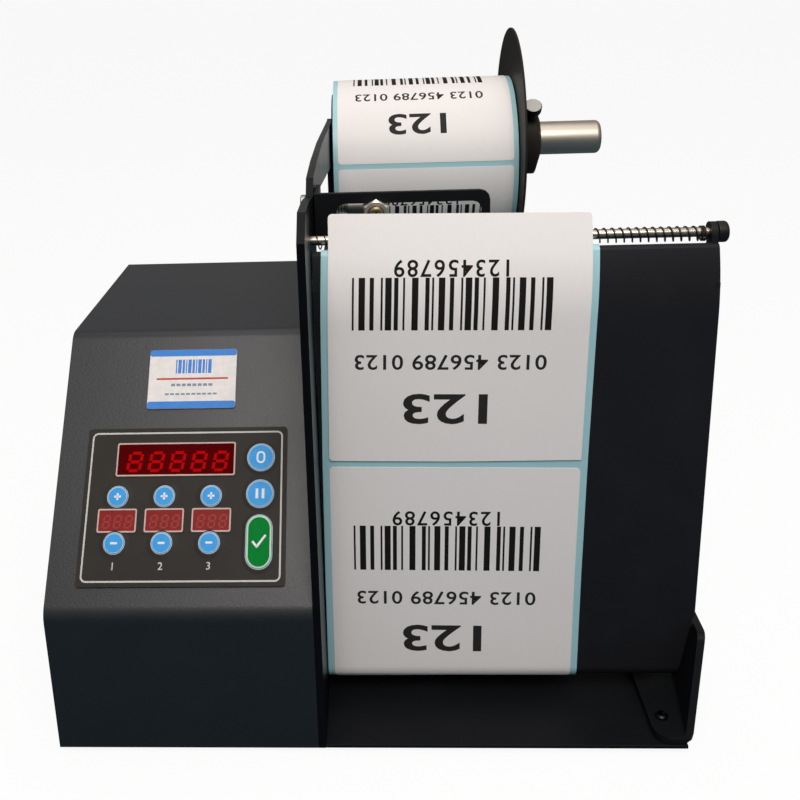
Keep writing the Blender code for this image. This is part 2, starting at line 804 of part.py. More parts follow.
def make_board():
    """The board under the keypad: a switch below each key, a display below each window, four posts."""
    half_width = OVERLAY_WIDTH / 2 + BOARD_MARGIN
    half_height = OVERLAY_HEIGHT / 2 + BOARD_MARGIN
    frame = on_panel(OVERLAY_ACROSS, OVERLAY_UP, -BOARD_DEPTH)
    outline = rectangle(2 * half_width, 2 * half_height)
    board = flat("control_board", [outline], BOARD_THICKNESS, frame, "board_green")
    floor = -BOARD_DEPTH + BOARD_THICKNESS / 2
    rest = -SHEET - GAP - KEY_FLANGE_THICKNESS
    switch_top = rest - KEY_TRAVEL - SWITCH_GAP
    for name, across, up, _, _, _ in key_places():
        outline = rectangle(SWITCH_SIDE, SWITCH_SIDE)
        switch = flat(f"{name}_switch", [outline], switch_top - floor, on_panel(across, up, floor))
        combine(board, switch, "UNION")
    for name, across, up, width, height in window_places():
        outline = rectangle(width - 2 * DISPLAY_MARGIN, height - 2 * DISPLAY_MARGIN)
        display_top = -WINDOW_DEPTH - DISPLAY_TOP
        display = flat(f"{name}_display", [outline], display_top - floor, on_panel(across, up, floor))
        combine(board, display, "UNION")
    for side in (-1, 1):
        for end in (-1, 1):
            across = OVERLAY_ACROSS + side * (half_width - POST_RADIUS)
            up = OVERLAY_UP + end * (half_height - POST_RADIUS)
            post = cylinder(
                f"post_{side}_{end}", POST_RADIUS, -SHEET - GAP - floor, on_panel(across, up, floor),
                segments=SMALL_SEGMENTS,
            )
            combine(board, post, "UNION")


def make_box_closings():
    """The bottom and the rear panel, with the power socket and the rocker switch."""
    left = BOX_LEFT + SHEET + GAP
    right = -GAP
    rear = BOX_DEPTH - GAP
    block("box_bottom", (left, SHEET + GAP, 0.0), (right, rear, SHEET), "black_powder_coat")
    panel = block(
        "rear_panel",
        (left, rear - SHEET, SHEET + GAP),
        (right, rear, BOX_HEIGHT - SHEET - GAP),
        "black_powder_coat",
    )
    face = rear + GAP
    socket_frame = along_y(-INLET_ACROSS, rear - OVERRUN, INLET_HEIGHT)
    socket_hole = cylinder("socket_hole", INLET_RADIUS + GAP, OVERRUN + OVERRUN, socket_frame)
    combine(panel, socket_hole)
    switch_hole = block(
        "switch_hole",
        (-ROCKER_ACROSS - ROCKER_WIDTH / 2 - GAP, rear - OVERRUN, ROCKER_UP - ROCKER_HEIGHT / 2 - GAP),
        (-ROCKER_ACROSS + ROCKER_WIDTH / 2 + GAP, rear + OVERRUN, ROCKER_UP + ROCKER_HEIGHT / 2 + GAP),
    )
    combine(panel, switch_hole)
    back = INLET_FLANGE_THICKNESS
    turned(
        "power_inlet",
        [
            (back, INLET_FLANGE_RADIUS),
            (0.0, INLET_FLANGE_RADIUS),
            (0.0, INLET_RADIUS),
            (-INLET_LENGTH, INLET_RADIUS),
            (-INLET_LENGTH, 0.0),
            (back, 0.0),
            (back, INLET_PIN_RADIUS),
            (back - INLET_BORE_DEPTH, INLET_PIN_RADIUS),
            (back - INLET_BORE_DEPTH, INLET_BORE_RADIUS),
            (back, INLET_BORE_RADIUS),
        ],
        along_y(-INLET_ACROSS, face, INLET_HEIGHT),
        "black_plastic",
        segments=PULLEY_SEGMENTS,
        bored=True,
    )
    make_rocker(rear)


def make_rocker(rear):
    """A rocker whose face is two flats that meet in a shallow V, pivoting in the rear panel."""
    half = ROCKER_HEIGHT / 2
    rise = half * math.tan(ROCKER_TILT)
    back = SHEET / 2 + ROCKER_PROUD
    outline = [
        (-half, back + rise),
        (0.0, back),
        (half, back + rise),
        (half * math.cos(ROCKER_TILT), -ROCKER_DEPTH / 2),
        (0.0, -ROCKER_DEPTH),
        (-half * math.cos(ROCKER_TILT), -ROCKER_DEPTH / 2),
    ]
    side = Matrix(((0, 0, 1), (0, 1, 0), (-1, 0, 0))).to_4x4()
    tilt = Matrix.Rotation(ROCKER_TILT, 4, "X")
    frame = place(-ROCKER_ACROSS, rear - SHEET / 2, ROCKER_UP) @ tilt @ side
    mesh = flat_mesh("power_rocker", [outline], ROCKER_WIDTH)
    return add("power_rocker", mesh, frame, "black_plastic")


def make_feet():
    """Four rubber feet: two under the box, two under the base plate."""
    places = [
        (BOX_LEFT + FOOT_INSET, FOOT_INSET),
        (BOX_LEFT + FOOT_INSET, BOX_DEPTH - FOOT_INSET),
        (BASE_RIGHT - FOOT_INSET, FOOT_INSET),
        (BASE_RIGHT - FOOT_INSET, BASE_DEPTH - FOOT_INSET),
    ]
    for number, (x, y) in enumerate(places, 1):
        turned(
            f"foot_{number}",
            [
                (-GAP, 0.0),
                (-GAP, FOOT_RADIUS),
                (-FOOT_HEIGHT + FOOT_TAPER, FOOT_RADIUS),
                (-FOOT_HEIGHT, FOOT_RADIUS - FOOT_TAPER),
                (-FOOT_HEIGHT, 0.0),
            ],
            place(x, y, 0.0),
            "black_rubber",
            segments=SEGMENTS // 2,
        )


# Side plate, base plate and end bracket


def frame_outline():
    """The side plate seen from the right: depth and height, counter-clockwise from the lower front."""
    boss = (SHAFT_Y, SHAFT_Z)
    points = [
        (UPRIGHT_REAR, 0.0),
        (UPRIGHT_REAR, SHAFT_Z - BOSS_RADIUS * 2),
        (SHAFT_Y + BOSS_RADIUS, SHAFT_Z - BOSS_RADIUS / 2),
    ]
    points += arc(boss, BOSS_RADIUS, 0.0, QUARTER_TURN * 1.15, CURL_STEPS)
    points += [
        (ARM_FALL_START, FRAME_TOP + ARM_RISE / 2),
        (ARM_CREST, FRAME_TOP + ARM_RISE),
        (NOTCH_END, FRAME_TOP + ARM_RISE / 2),
        (NOTCH_DEEP, FRAME_TOP - NOTCH_DROP),
        (NOTCH_START, FRAME_TOP - NOTCH_DROP / 4),
        (FRAME_TOP_FRONT, FRAME_TOP),
        (FRONT_EDGE, FRAME_FRONT_TOP),
        (FRONT_EDGE, 0.0),
    ]
    return points


def window_outline():
    """The opening under the arm: its roof falls to the rear, its sill lies just above the box."""
    arm = WINDOW_MARGIN
    points = [
        (WINDOW_FRONT, WINDOW_SILL),
        (UPRIGHT_FRONT, WINDOW_SILL),
        (UPRIGHT_FRONT, SHAFT_Z - BOSS_RADIUS + arm),
        (WINDOW_FRONT, FRAME_TOP - NOTCH_DROP - arm / 2),
    ]
    return round_all(points, [WINDOW_ROUNDING] * len(points))


def make_frame_plate():
    bores = [
        (DRIVE_Y, DRIVE_Z, DRIVE_SHAFT_RADIUS),
        (PINCH_Y, DRIVE_Z, PINCH_SHAFT_RADIUS),
        (REWIND_Y, REWIND_Z, REWIND_SHAFT_RADIUS),
        (SHAFT_Y, SHAFT_Z, SPIGOT_RADIUS),
        (STUD_Y, SENSOR_Z, STUD_RADIUS),
        (ROD_Y, ROD_Z, ROD_RADIUS),
    ]
    holes = [circle((y, z), radius + GAP, SMALL_SEGMENTS) for y, z, radius in bores]
    holes.append(circle((LEAD_HOLE_Y, LEAD_HOLE_Z), LEAD_HOLE_RADIUS))
    return flat(
        "frame_plate",
        [frame_outline(), window_outline(), *holes],
        FRAME_THICKNESS,
        along_x(0.0, 0.0, 0.0),
        "black_anodised",
    )


def make_base_plate():
    """The floor of the web side, with a flange turned up along the side plate."""
    left = FRAME_THICKNESS + GAP
    plate = block("base_plate", (left, FRONT_EDGE, 0.0), (BASE_RIGHT, BASE_DEPTH, SHEET), "black_powder_coat")
    flange = block(
        "base_flange",
        (left, BASE_FLANGE_FRONT, SHEET / 2),
        (left + SHEET, BASE_FLANGE_REAR, BASE_FLANGE_HEIGHT),
    )
    return combine(plate, flange, "UNION")


def toed_frame(depth):
    """A frame at this depth on the ear's foot line, its Z back along that line to the operator."""
    across = END_INNER_X + depth * math.tan(END_TOE)
    return place(across, depth, 0.0) @ Matrix.Rotation(-END_TOE, 4, "Z") @ facing_front(0.0, 0.0, 0.0)


def ear_x(y, z):
    """Where the ear's inner face stands at this depth and height."""
    return END_INNER_X + y * math.tan(END_TOE) + z * math.tan(END_LEAN) / math.cos(END_TOE)


def make_end_bracket():
    """A foot on the base plate and an ear that leans out and splays to the rear, bent from one sheet."""
    floor = SHEET + GAP + END_SHEET / 2
    rear = END_TOP[-1][0]
    height = max(z for _, z in END_TOP) + OVERRUN
    bend = (END_SHEET / 2 - END_BEND_RADIUS, floor + END_BEND_RADIUS)
    corner = arc(bend, END_BEND_RADIUS, -QUARTER_TURN, -END_LEAN)
    last = corner[-1]
    top = (last[0] + (height - last[1]) * math.tan(END_LEAN), height)
    reach = END_FOOT_LEFT - END_INNER_X - (rear + OVERRUN) * math.tan(END_TOE)
    section = strip([(reach, floor), *corner, top], END_SHEET)
    length = (rear + OVERRUN + OVERRUN) / math.cos(END_TOE)
    bracket = flat("end_bracket", [section], length, toed_frame(rear + OVERRUN), "black_powder_coat")
    side = [(rear, 0.0), *reversed(END_TOP), (END_TOP[0][0], 0.0)]
    side = round_all(side, [0.0, END_CORNER, END_CORNER, END_CORNER, 0.0, 0.0])
    keep = flat("end_bracket_side", [side], SHAFT_END, along_x(END_FOOT_LEFT, 0.0, 0.0))
    combine(bracket, keep, "INTERSECT")
    bend_middle = (END_FOOT_LEFT + END_FOOT_CORNER, END_FRONT + END_FOOT_CORNER)
    foot = arc(bend_middle, END_FOOT_CORNER, math.pi, 3 * QUARTER_TURN)
    foot += [
        (END_FOOT_LEFT + END_FOOT_CORNER, END_FRONT - OVERRUN),
        (END_FOOT_LEFT - OVERRUN, END_FRONT - OVERRUN),
        (END_FOOT_LEFT - OVERRUN, END_FRONT + END_FOOT_CORNER),
    ]
    combine(bracket, flat("end_foot_corner", [foot], floor + floor, place(0.0, 0.0, 0.0)))
    for y, radius, label in (
        (DRIVE_Y, DRIVE_SHAFT_RADIUS, "drive"),
        (PINCH_Y, PINCH_SHAFT_RADIUS, "pinch"),
    ):
        hole = cylinder(
            f"end_{label}_hole", radius + GAP, SHAFT_END - END_FOOT_LEFT, along_x(END_FOOT_LEFT, y, DRIVE_Z),
            segments=SMALL_SEGMENTS,
        )
        combine(bracket, hole)
    hole_frame = place(FOOT_SCREW_X, FOOT_SCREW_Y, -OVERRUN)
    top = SHEET + GAP + END_SHEET + GAP
    screw_hole = cylinder(
        "foot_screw_hole", FOOT_SCREW_RADIUS + GAP, OVERRUN + top + OVERRUN, hole_frame,
        segments=SMALL_SEGMENTS,
    )
    combine(bracket, screw_hole)
    combine(bpy.data.objects["base_plate"], screw_hole)
    screw = turned(
        "end_bracket_screw",
        [
            (FOOT_SCREW_HEAD_THICKNESS, 0.0),
            (FOOT_SCREW_HEAD_THICKNESS, FOOT_SCREW_HEAD_RADIUS - FOOT_TAPER),
            (FOOT_SCREW_HEAD_THICKNESS / 2, FOOT_SCREW_HEAD_RADIUS),
            (0.0, FOOT_SCREW_HEAD_RADIUS),
            (0.0, FOOT_SCREW_RADIUS),
            (-top + GAP, FOOT_SCREW_RADIUS),
            (-top + GAP, 0.0),
        ],
        place(FOOT_SCREW_X, FOOT_SCREW_Y, top),
        "black_anodised",
        segments=SMALL_SEGMENTS,
    )
    high = top + FOOT_SCREW_HEAD_THICKNESS + OVERRUN
    low = top + FOOT_SCREW_HEAD_THICKNESS - CROSS_DEPTH
    arms = (("across", CROSS_LENGTH, CROSS_WIDTH), ("along", CROSS_WIDTH, CROSS_LENGTH))
    for name, reach_x, reach_y in arms:
        slot = block(
            f"screw_slot_{name}",
            (FOOT_SCREW_X - reach_x / 2, FOOT_SCREW_Y - reach_y / 2, low),
            (FOOT_SCREW_X + reach_x / 2, FOOT_SCREW_Y + reach_y / 2, high),
        )
        combine(screw, slot)
    return bracket


# Apron, guide rod and spring


def apron_line(skin):
    """The apron's front line moved out by a skin, from the curl below to the peel edge above."""
    curl = (APRON_Y + APRON_CURL_RADIUS, APRON_BOTTOM + APRON_CURL_RADIUS)
    lean = (APRON_Y + APRON_LEAN_RADIUS, APRON_LEAN_START)
    line = arc(curl, APRON_CURL_RADIUS + skin, 3 * QUARTER_TURN, math.pi, CURL_STEPS)
    line += arc(lean, APRON_LEAN_RADIUS + skin, math.pi, math.pi - LEAN_ANGLE, LEAN_STEPS)
    return line


def nose_centre():
    """The middle of the peel edge's small round."""
    reach = APRON_LEAN_RADIUS - NOSE_RADIUS
    return (
        APRON_Y + APRON_LEAN_RADIUS - reach * math.cos(LEAN_ANGLE),
        APRON_LEAN_START + reach * math.sin(LEAN_ANGLE),
    )


def apron_back_end():
    centre = nose_centre()
    return centre[0] + NOSE_RADIUS, centre[1] - NOSE_RETURN


def make_apron():
    """The apron sheet with its peel edge, two side flanges, and the eye that holds the guide rod."""
    skin = -APRON_SHEET / 2
    nose = arc(nose_centre(), NOSE_RADIUS + skin, math.pi - LEAN_ANGLE, 0.0, CURL_STEPS)
    end = apron_back_end()
    line = apron_line(skin) + nose[1:] + [(end[0] + skin, end[1])]
    width = APRON_RIGHT - APRON_LEFT
    frame = along_x(APRON_LEFT, 0.0, 0.0)
    sheet = flat("apron", [strip(line, APRON_SHEET)], width, frame, "black_powder_coat")
    inner = APRON_Y + APRON_SHEET / 2
    for name, low in (("left", APRON_LEFT), ("right", APRON_RIGHT - APRON_SHEET)):
        flange = block(
            f"apron_flange_{name}",
            (low, inner, APRON_FLANGE_BOTTOM),
            (low + APRON_SHEET, APRON_Y + APRON_FLANGE_DEPTH, APRON_FLANGE_TOP),
        )
        combine(sheet, flange, "UNION")
    eye_left = APRON_RIGHT - ROD_EYE_WIDTH
    eye_frame = along_x(eye_left, ROD_Y, ROD_Z)
    eye = cylinder("rod_eye", ROD_EYE_RADIUS, ROD_EYE_WIDTH, eye_frame, segments=SEGMENTS // 2)
    arm_low = nose_centre()[1] - NOSE_RETURN
    arm = block(
        "rod_eye_arm",
        (eye_left, nose_centre()[0], arm_low),
        (APRON_RIGHT, ROD_Y + ROD_EYE_RADIUS / 2, ROD_Z),
    )
    combine(sheet, eye, "UNION")
    combine(sheet, arm, "UNION")
    bore = cylinder(
        "rod_eye_bore", ROD_RADIUS + GAP, ROD_EYE_WIDTH + OVERRUN + OVERRUN,
        along_x(eye_left - OVERRUN, ROD_Y, ROD_Z), segments=SMALL_SEGMENTS,
    )
    combine(sheet, bore)
    high = max(z for _, z in END_TOP) + GAP + GAP
    clearance = [
        (-APRON_SHEET, 0.0),
        (APRON_RIGHT - END_INNER_X, 0.0),
        (APRON_RIGHT - END_INNER_X, high),
        (high * math.tan(END_LEAN) - APRON_SHEET, high),
    ]
    depth = END_TOP[-1][0]
    combine(sheet, flat("ear_clearance", [clearance], depth, toed_frame(depth)))
    return sheet


def make_guide_rod():
    """The polished rod, its loose winding of spring wire and the screw that ends it."""
    left = GAP
    cap_left = APRON_RIGHT + GAP
    rod = cylinder(
        "guide_rod", ROD_RADIUS, APRON_RIGHT - left, along_x(left, ROD_Y, ROD_Z), "brushed_steel",
        segments=SMALL_SEGMENTS,
    )
    cap = turned(
        "rod_end_cap",
        [
            (END_CAP_LENGTH, 0.0),
            (END_CAP_LENGTH, END_CAP_RADIUS - FOOT_TAPER),
            (END_CAP_LENGTH - FOOT_TAPER, END_CAP_RADIUS),
            (0.0, END_CAP_RADIUS),
            (0.0, 0.0),
        ],
        along_x(cap_left, ROD_Y, ROD_Z),
        "black_anodised",
        segments=SMALL_SEGMENTS,
    )
    key = cylinder(
        "cap_hex", HEX_KEY_RADIUS / 2, HEX_KEY_DEPTH + OVERRUN,
        along_x(cap_left + END_CAP_LENGTH - HEX_KEY_DEPTH, ROD_Y, ROD_Z), segments=HEX_SIDES,
    )
    combine(cap, key)
    start = FRAME_THICKNESS + SPRING_END_GAP
    end = APRON_RIGHT - ROD_EYE_WIDTH - SPRING_END_GAP
    tube("rod_spring", spring_points(start, end), SPRING_WIRE_RADIUS, "spring_steel", resolution=1)
    return rod


def spring_points(start, end):
    """A helix round the rod, straight at neither end; its least gap to itself is printed."""
    count = SPRING_TURNS * SPRING_TURN_POINTS
    points = []
    for i in range(count + 1):
        angle = FULL_TURN * i / SPRING_TURN_POINTS
        x = start + (end - start) * i / count
        y = ROD_Y + SPRING_MEAN_RADIUS * math.cos(angle)
        z = ROD_Z - SPRING_SAG + SPRING_MEAN_RADIUS * math.sin(angle)
        points.append((x, y, z))
    apart = [
        (Vector(points[i]) - Vector(points[i + SPRING_TURN_POINTS])).length
        for i in range(count + 1 - SPRING_TURN_POINTS)
    ]
    print("spring: least gap between its turns", round(min(apart) - 2 * SPRING_WIRE_RADIUS, 5), "m")
    return points


# Sensor on its slotted bracket


def make_sensor():
    """A slotted bracket, a threaded barrel held in the slot by two nuts, and the barrel's lead."""
    left = FRAME_THICKNESS + GAP
    slot_half = SENSOR_RADIUS + GAP + GAP
    outline = round_all(
        [
            (left, BRACKET_BOTTOM),
            (BRACKET_RIGHT, BRACKET_BOTTOM),
            (BRACKET_RIGHT, BRACKET_TOP),
            (left, BRACKET_TOP),
        ],
        [0, BRACKET_CORNER, BRACKET_CORNER, 0],
    )
    slot = rounded_box(
        (SLOT_LEFT, SENSOR_Z - slot_half), (SLOT_RIGHT, SENSOR_Z + slot_half), slot_half - WELD
    )
    bracket = flat(
        "sensor_bracket",
        [outline, slot],
        BRACKET_SHEET,
        facing_front(0.0, BRACKET_Y + BRACKET_SHEET, 0.0),
        "black_powder_coat",
    )
    flange = block(
        "bracket_flange",
        (left, BRACKET_Y + BRACKET_SHEET / 2, BRACKET_BOTTOM),
        (left + BRACKET_SHEET, BRACKET_Y + BRACKET_FLANGE_DEPTH, BRACKET_TOP),
    )
    combine(bracket, flange, "UNION")
    stud_hole = cylinder(
        "bracket_stud_hole", STUD_RADIUS + GAP, BRACKET_SHEET + OVERRUN + OVERRUN,
        along_x(left - OVERRUN, STUD_Y, SENSOR_Z), segments=SMALL_SEGMENTS,
    )
    combine(bracket, stud_hole)
    head = -GAP - STUD_HEAD_THICKNESS
    turned(
        "bracket_stud",
        [
            (STUD_END, 0.0),
            (STUD_END, STUD_SHANK_RADIUS),
            (STUD_THREAD_END, STUD_SHANK_RADIUS),
            (STUD_THREAD_END, STUD_RADIUS),
            (-GAP, STUD_RADIUS),
            (-GAP, STUD_HEAD_RADIUS),
            (head, STUD_HEAD_RADIUS),
            (head, 0.0),
        ],
        along_x(0.0, STUD_Y, SENSOR_Z),
        "brushed_steel",
        segments=SMALL_SEGMENTS,
    )
    barrel = cylinder(
        "sensor_barrel", SENSOR_RADIUS, SENSOR_LENGTH, along_y(SENSOR_X, SENSOR_FRONT, SENSOR_Z), "brass",
        segments=SMALL_SEGMENTS,
    )
    nuts = (
        ("sensor_nut_front", BRACKET_Y - GAP - NUT_THICKNESS),
        ("sensor_nut_rear", BRACKET_Y + BRACKET_SHEET + GAP),
    )
    corner = NUT_FLATS / 2 / math.cos(HEX_HALF_SIDE)
    bore = (SENSOR_RADIUS + GAP) / math.cos(HEX_HALF_SIDE)
    for name, start in nuts:
        turned(
            name,
            [
                (NUT_THICKNESS, corner),
                (0.0, corner),
                (0.0, bore),
                (NUT_THICKNESS, bore),
            ],
            along_y(SENSOR_X, start, SENSOR_Z) @ Matrix.Rotation(HEX_HALF_SIDE, 4, "Z"),
            "brushed_steel",
            parent=barrel,
            segments=HEX_SIDES,
            bored=True,
        )
    tube("sensor_lead", lead_points(), LEAD_RADIUS, "black_plastic", 1)
    return bracket


def smooth_route(route, count):
    """Evenly spread points on a Catmull-Rom curve through the route's own points."""
    route = [Vector(point) for point in route]
    route = [2 * route[0] - route[1], *route, 2 * route[-1] - route[-2]]
    spans = len(route) - 3
    points = []
    for i in range(count):
        at = i / (count - 1) * spans
        span = min(int(at), spans - 1)
        t = at - span
        a, b, c, d = route[span : span + 4]
        point = b + (c - a) * t / 2
        point += (a - b * 5 / 2 + c * 2 - d / 2) * t * t
        point += (b * 3 - a - c * 3 + d) * t * t * t / 2
        points.append(tuple(point))
    return points


def lead_points():
    """From the barrel's rear, down behind the apron and through the side plate to the circuit board."""
    start = Vector((SENSOR_X, SENSOR_FRONT + SENSOR_LENGTH + GAP, SENSOR_Z))
    hole = Vector((0.0, LEAD_HOLE_Y, LEAD_HOLE_Z))
    route = [start + Vector(offset) for offset in LEAD_FREE_ROUTE]
    route += [hole + Vector(offset) for offset in LEAD_HIDDEN_ROUTE]
    underside = -BOARD_DEPTH - LEAD_END_GAP
    route.append(on_panel(LEAD_END_ACROSS, LEAD_END_UP, underside - LEAD_END_DROP).translation)
    route.append(on_panel(LEAD_END_ACROSS, LEAD_END_UP, underside).translation)
    return smooth_route(route, LEAD_POINTS)


# Roll, shaft and flanges


def make_roll():
    """The fixed shaft, the flanges on it, and the label roll that hangs on the shaft by its core."""
    shoulder = FRAME_THICKNESS + GAP
    length = SHAFT_END
    turned(
        "roll_shaft",
        [
            (length, 0.0),
            (length, SHAFT_RADIUS - SHAFT_CHAMFER),
            (length - SHAFT_CHAMFER, SHAFT_RADIUS),
            (shoulder, SHAFT_RADIUS),
            (shoulder, SPIGOT_RADIUS),
            (GAP, SPIGOT_RADIUS),
            (GAP, SHAFT_SCREW_RADIUS + GAP),
            (SHAFT_SCREW_LENGTH + GAP, SHAFT_SCREW_RADIUS + GAP),
            (SHAFT_SCREW_LENGTH + GAP, 0.0),
        ],
        along_x(0.0, SHAFT_Y, SHAFT_Z),
        "brushed_steel",
    )
    head = -GAP - SHAFT_SCREW_HEAD_THICKNESS
    screw = turned(
        "shaft_screw",
        [
            (SHAFT_SCREW_LENGTH, 0.0),
            (SHAFT_SCREW_LENGTH, SHAFT_SCREW_RADIUS),
            (-GAP, SHAFT_SCREW_RADIUS),
            (-GAP, SHAFT_SCREW_HEAD_RADIUS),
            (head + FOOT_TAPER, SHAFT_SCREW_HEAD_RADIUS),
            (head, SHAFT_SCREW_HEAD_RADIUS - FOOT_TAPER),
            (head, 0.0),
        ],
        along_x(0.0, SHAFT_Y, SHAFT_Z),
        "brushed_steel",
        segments=SEGMENTS // 2,
    )
    socket = cylinder(
        "shaft_screw_hex", HEX_KEY_RADIUS, HEX_KEY_DEPTH + OVERRUN,
        along_x(head - OVERRUN, SHAFT_Y, SHAFT_Z), segments=HEX_SIDES,
    )
    combine(screw, socket)
    inner = SHAFT_RADIUS + GAP
    turned(
        "inner_flange",
        [
            (INNER_FLANGE_THICKNESS, INNER_FLANGE_RADIUS),
            (0.0, INNER_FLANGE_RADIUS),
            (0.0, inner),
            (INNER_FLANGE_THICKNESS, inner),
        ],
        along_x(FRAME_THICKNESS + GAP + GAP / 2, SHAFT_Y, SHAFT_Z),
        "black_plastic",
        bored=True,
    )
    make_outer_flange(inner)
    core = turned(
        "roll_core",
        [
            (ROLL_WIDTH, CORE_RADIUS + CORE_WALL),
            (0.0, CORE_RADIUS + CORE_WALL),
            (0.0, CORE_RADIUS),
            (ROLL_WIDTH, CORE_RADIUS),
        ],
        along_x(ROLL_LEFT, SHAFT_Y, ROLL_Z),
        "cardboard",
        bored=True,
    )
    turned(
        "label_roll",
        [
            (ROLL_WIDTH, ROLL_RADIUS),
            (0.0, ROLL_RADIUS),
            (0.0, CORE_RADIUS + CORE_WALL + GAP),
            (ROLL_WIDTH, CORE_RADIUS + CORE_WALL + GAP),
        ],
        along_x(ROLL_LEFT, SHAFT_Y, ROLL_Z),
        "label_paper",
        parent=core,
        segments=FINE_SEGMENTS,
        bored=True,
    )


def make_outer_flange(inner):
    """The large disc and its hub, locked on the shaft by a thumb screw through the hub."""
    hub_top = DISC_THICKNESS + HUB_LENGTH
    flange = turned(
        "outer_flange",
        [
            (hub_top, HUB_FACE_RADIUS),
            (hub_top - HUB_CHAMFER, HUB_RADIUS),
            (DISC_THICKNESS, HUB_RADIUS),
            (DISC_THICKNESS, DISC_RADIUS - DISC_ROUNDING),
            (DISC_THICKNESS - DISC_ROUNDING, DISC_RADIUS),
            (DISC_ROUNDING, DISC_RADIUS),
            (0.0, DISC_RADIUS - DISC_ROUNDING),
            (0.0, inner),
            (hub_top, inner),
        ],
        along_x(DISC_LEFT, SHAFT_Y, SHAFT_Z),
        "black_plastic",
        segments=FINE_SEGMENTS,
        bored=True,
    )
    radial = place(THUMB_X, SHAFT_Y, SHAFT_Z) @ Matrix.Rotation(QUARTER_TURN - THUMB_ANGLE, 4, "X")
    tip = SHAFT_RADIUS + GAP + GAP
    hole = cylinder(
        "thumb_hole", THUMB_SHANK_RADIUS + GAP, HUB_RADIUS, radial @ place(0.0, 0.0, SHAFT_RADIUS / 2),
        segments=SMALL_SEGMENTS,
    )
    combine(flange, hole)
    seat = HUB_RADIUS + THUMB_NECK
    screw = cylinder(
        "thumb_screw", THUMB_SHANK_RADIUS, seat - tip + GAP, radial @ place(0.0, 0.0, tip), "brushed_steel",
        parent=flange, segments=SMALL_SEGMENTS,
    )
    outline = []
    for i in range(2 * THUMB_KNURLS):
        reach = THUMB_HEAD_RADIUS * (THUMB_KNURL_SHARE if i % 2 else 1)
        angle = FULL_TURN * i / (2 * THUMB_KNURLS)
        outline.append((reach * math.cos(angle), reach * math.sin(angle)))
    head = flat("thumb_head", [outline], THUMB_HEAD_LENGTH, radial @ place(0.0, 0.0, seat))
    combine(screw, head, "UNION")
    return flange


# Web of labels


def web_line():
    """The whole path of the backing strip in side view, from the roll to the rewound liner."""
    skin = WEB_SKIN
    roll_reach = ROLL_RADIUS + skin
    rod_reach = WEB_ROD_RADIUS + skin
    roll, rod = (SHAFT_Y, ROLL_Z), (WEB_ROD_Y, WEB_ROD_Z)
    leave, meet, heading = tangent_points(roll, roll_reach, rod, rod_reach)
    line = [tuple(leave), tuple(meet)]
    line += arc(rod, rod_reach, heading, -QUARTER_TURN, CORNER_STEPS)[1:]
    line += apron_line(skin)
    line += arc(nose_centre(), NOSE_RADIUS + skin, math.pi - LEAN_ANGLE, 0.0, CURL_STEPS)[1:]
    end = apron_back_end()
    drive_reach = DRIVE_RADIUS + skin
    line.append((end[0] + skin, end[1]))
    liner_reach = LINER_ROLL_RADIUS + skin
    drive, liner = (DRIVE_Y, DRIVE_Z), (REWIND_Y, REWIND_Z)
    _, meet, heading = tangent_points(drive, drive_reach, liner, liner_reach, -1)
    line += arc(drive, drive_reach, math.pi, heading + FULL_TURN, CURL_STEPS)
    line.append(tuple(meet))
    return line


def make_web():
    """The backing strip along its path, the label on it that is being peeled, and the wound liner."""
    web = strip(web_line(), WEB_THICKNESS)
    flat("label_web", [web], ROLL_WIDTH, along_x(WEB_LEFT, 0.0, 0.0), "blue_liner")
    label = strip(label_line(), LABEL_THICKNESS)
    flat("peeled_label", [label], LABEL_SIDE, along_x(label_left(), 0.0, 0.0), "label_paper")


def label_left():
    return WEB_LEFT + LINER_MARGIN


def label_line():
    """Up the apron from the label's lower edge, then straight on past the peel edge to its full length."""
    skin = WEB_SKIN + WEB_THICKNESS / 2 + GAP + LABEL_THICKNESS / 2
    line = [(APRON_Y - skin, LABEL_GAP_HEIGHT)]
    lean = (APRON_Y + APRON_LEAN_RADIUS, APRON_LEAN_START)
    line += arc(lean, APRON_LEAN_RADIUS + skin, math.pi, math.pi - LEAN_ANGLE, LEAN_STEPS)
    used = sum(math.dist(a, b) for a, b in zip(line, line[1:]))
    last = line[-1]
    left = LABEL_SIDE - used
    line.append((last[0] + left * math.sin(LEAN_ANGLE), last[1] + left * math.cos(LEAN_ANGLE)))
    return line


# Liner drive


def roller(name, y, z, radius, shaft_radius, shaft_left, shaft_right, material):
    """A roller body on a through shaft, turned in one."""
    return turned(
        name,
        [
            (shaft_right, 0.0),
            (shaft_right, shaft_radius),
            (ROLLER_RIGHT, shaft_radius),
            (ROLLER_RIGHT, radius),
            (ROLLER_LEFT, radius),
            (ROLLER_LEFT, shaft_radius),
            (shaft_left, shaft_radius),
            (shaft_left, 0.0),
        ],
        along_x(0.0, y, z),
        material,
    )


def journal_end(y):
    """A roller's right end, just outside the ear."""
    return ear_x(y, DRIVE_Z) + END_SHEET + JOURNAL_OVERHANG


def groove(radius, start):
    """One pulley groove seen from the left end rightwards: (place along X, radius) pairs."""
    rim = radius + BELT_RADIUS
    floor = radius - BELT_RADIUS
    return [
        (start, rim),
        (start - PULLEY_FLANGE, rim),
        (start - PULLEY_FLANGE, floor),
        (start - PULLEY_WIDTH + PULLEY_FLANGE, floor),
        (start - PULLEY_WIDTH + PULLEY_FLANGE, rim),
        (start - PULLEY_WIDTH, rim),
    ]


def pulley(name, y, z, bore, grooves, parent):
    """A pulley from a list of (radius, start) grooves, on a bored hub."""
    outline = [point for radius, start in grooves for point in groove(radius, start)]
    first, last = outline[0][0], outline[-1][0]
    outline += [(last, bore + GAP), (first, bore + GAP)]
    return turned(name, outline, along_x(0.0, y, z), "black_plastic", parent, PULLEY_SEGMENTS, True)


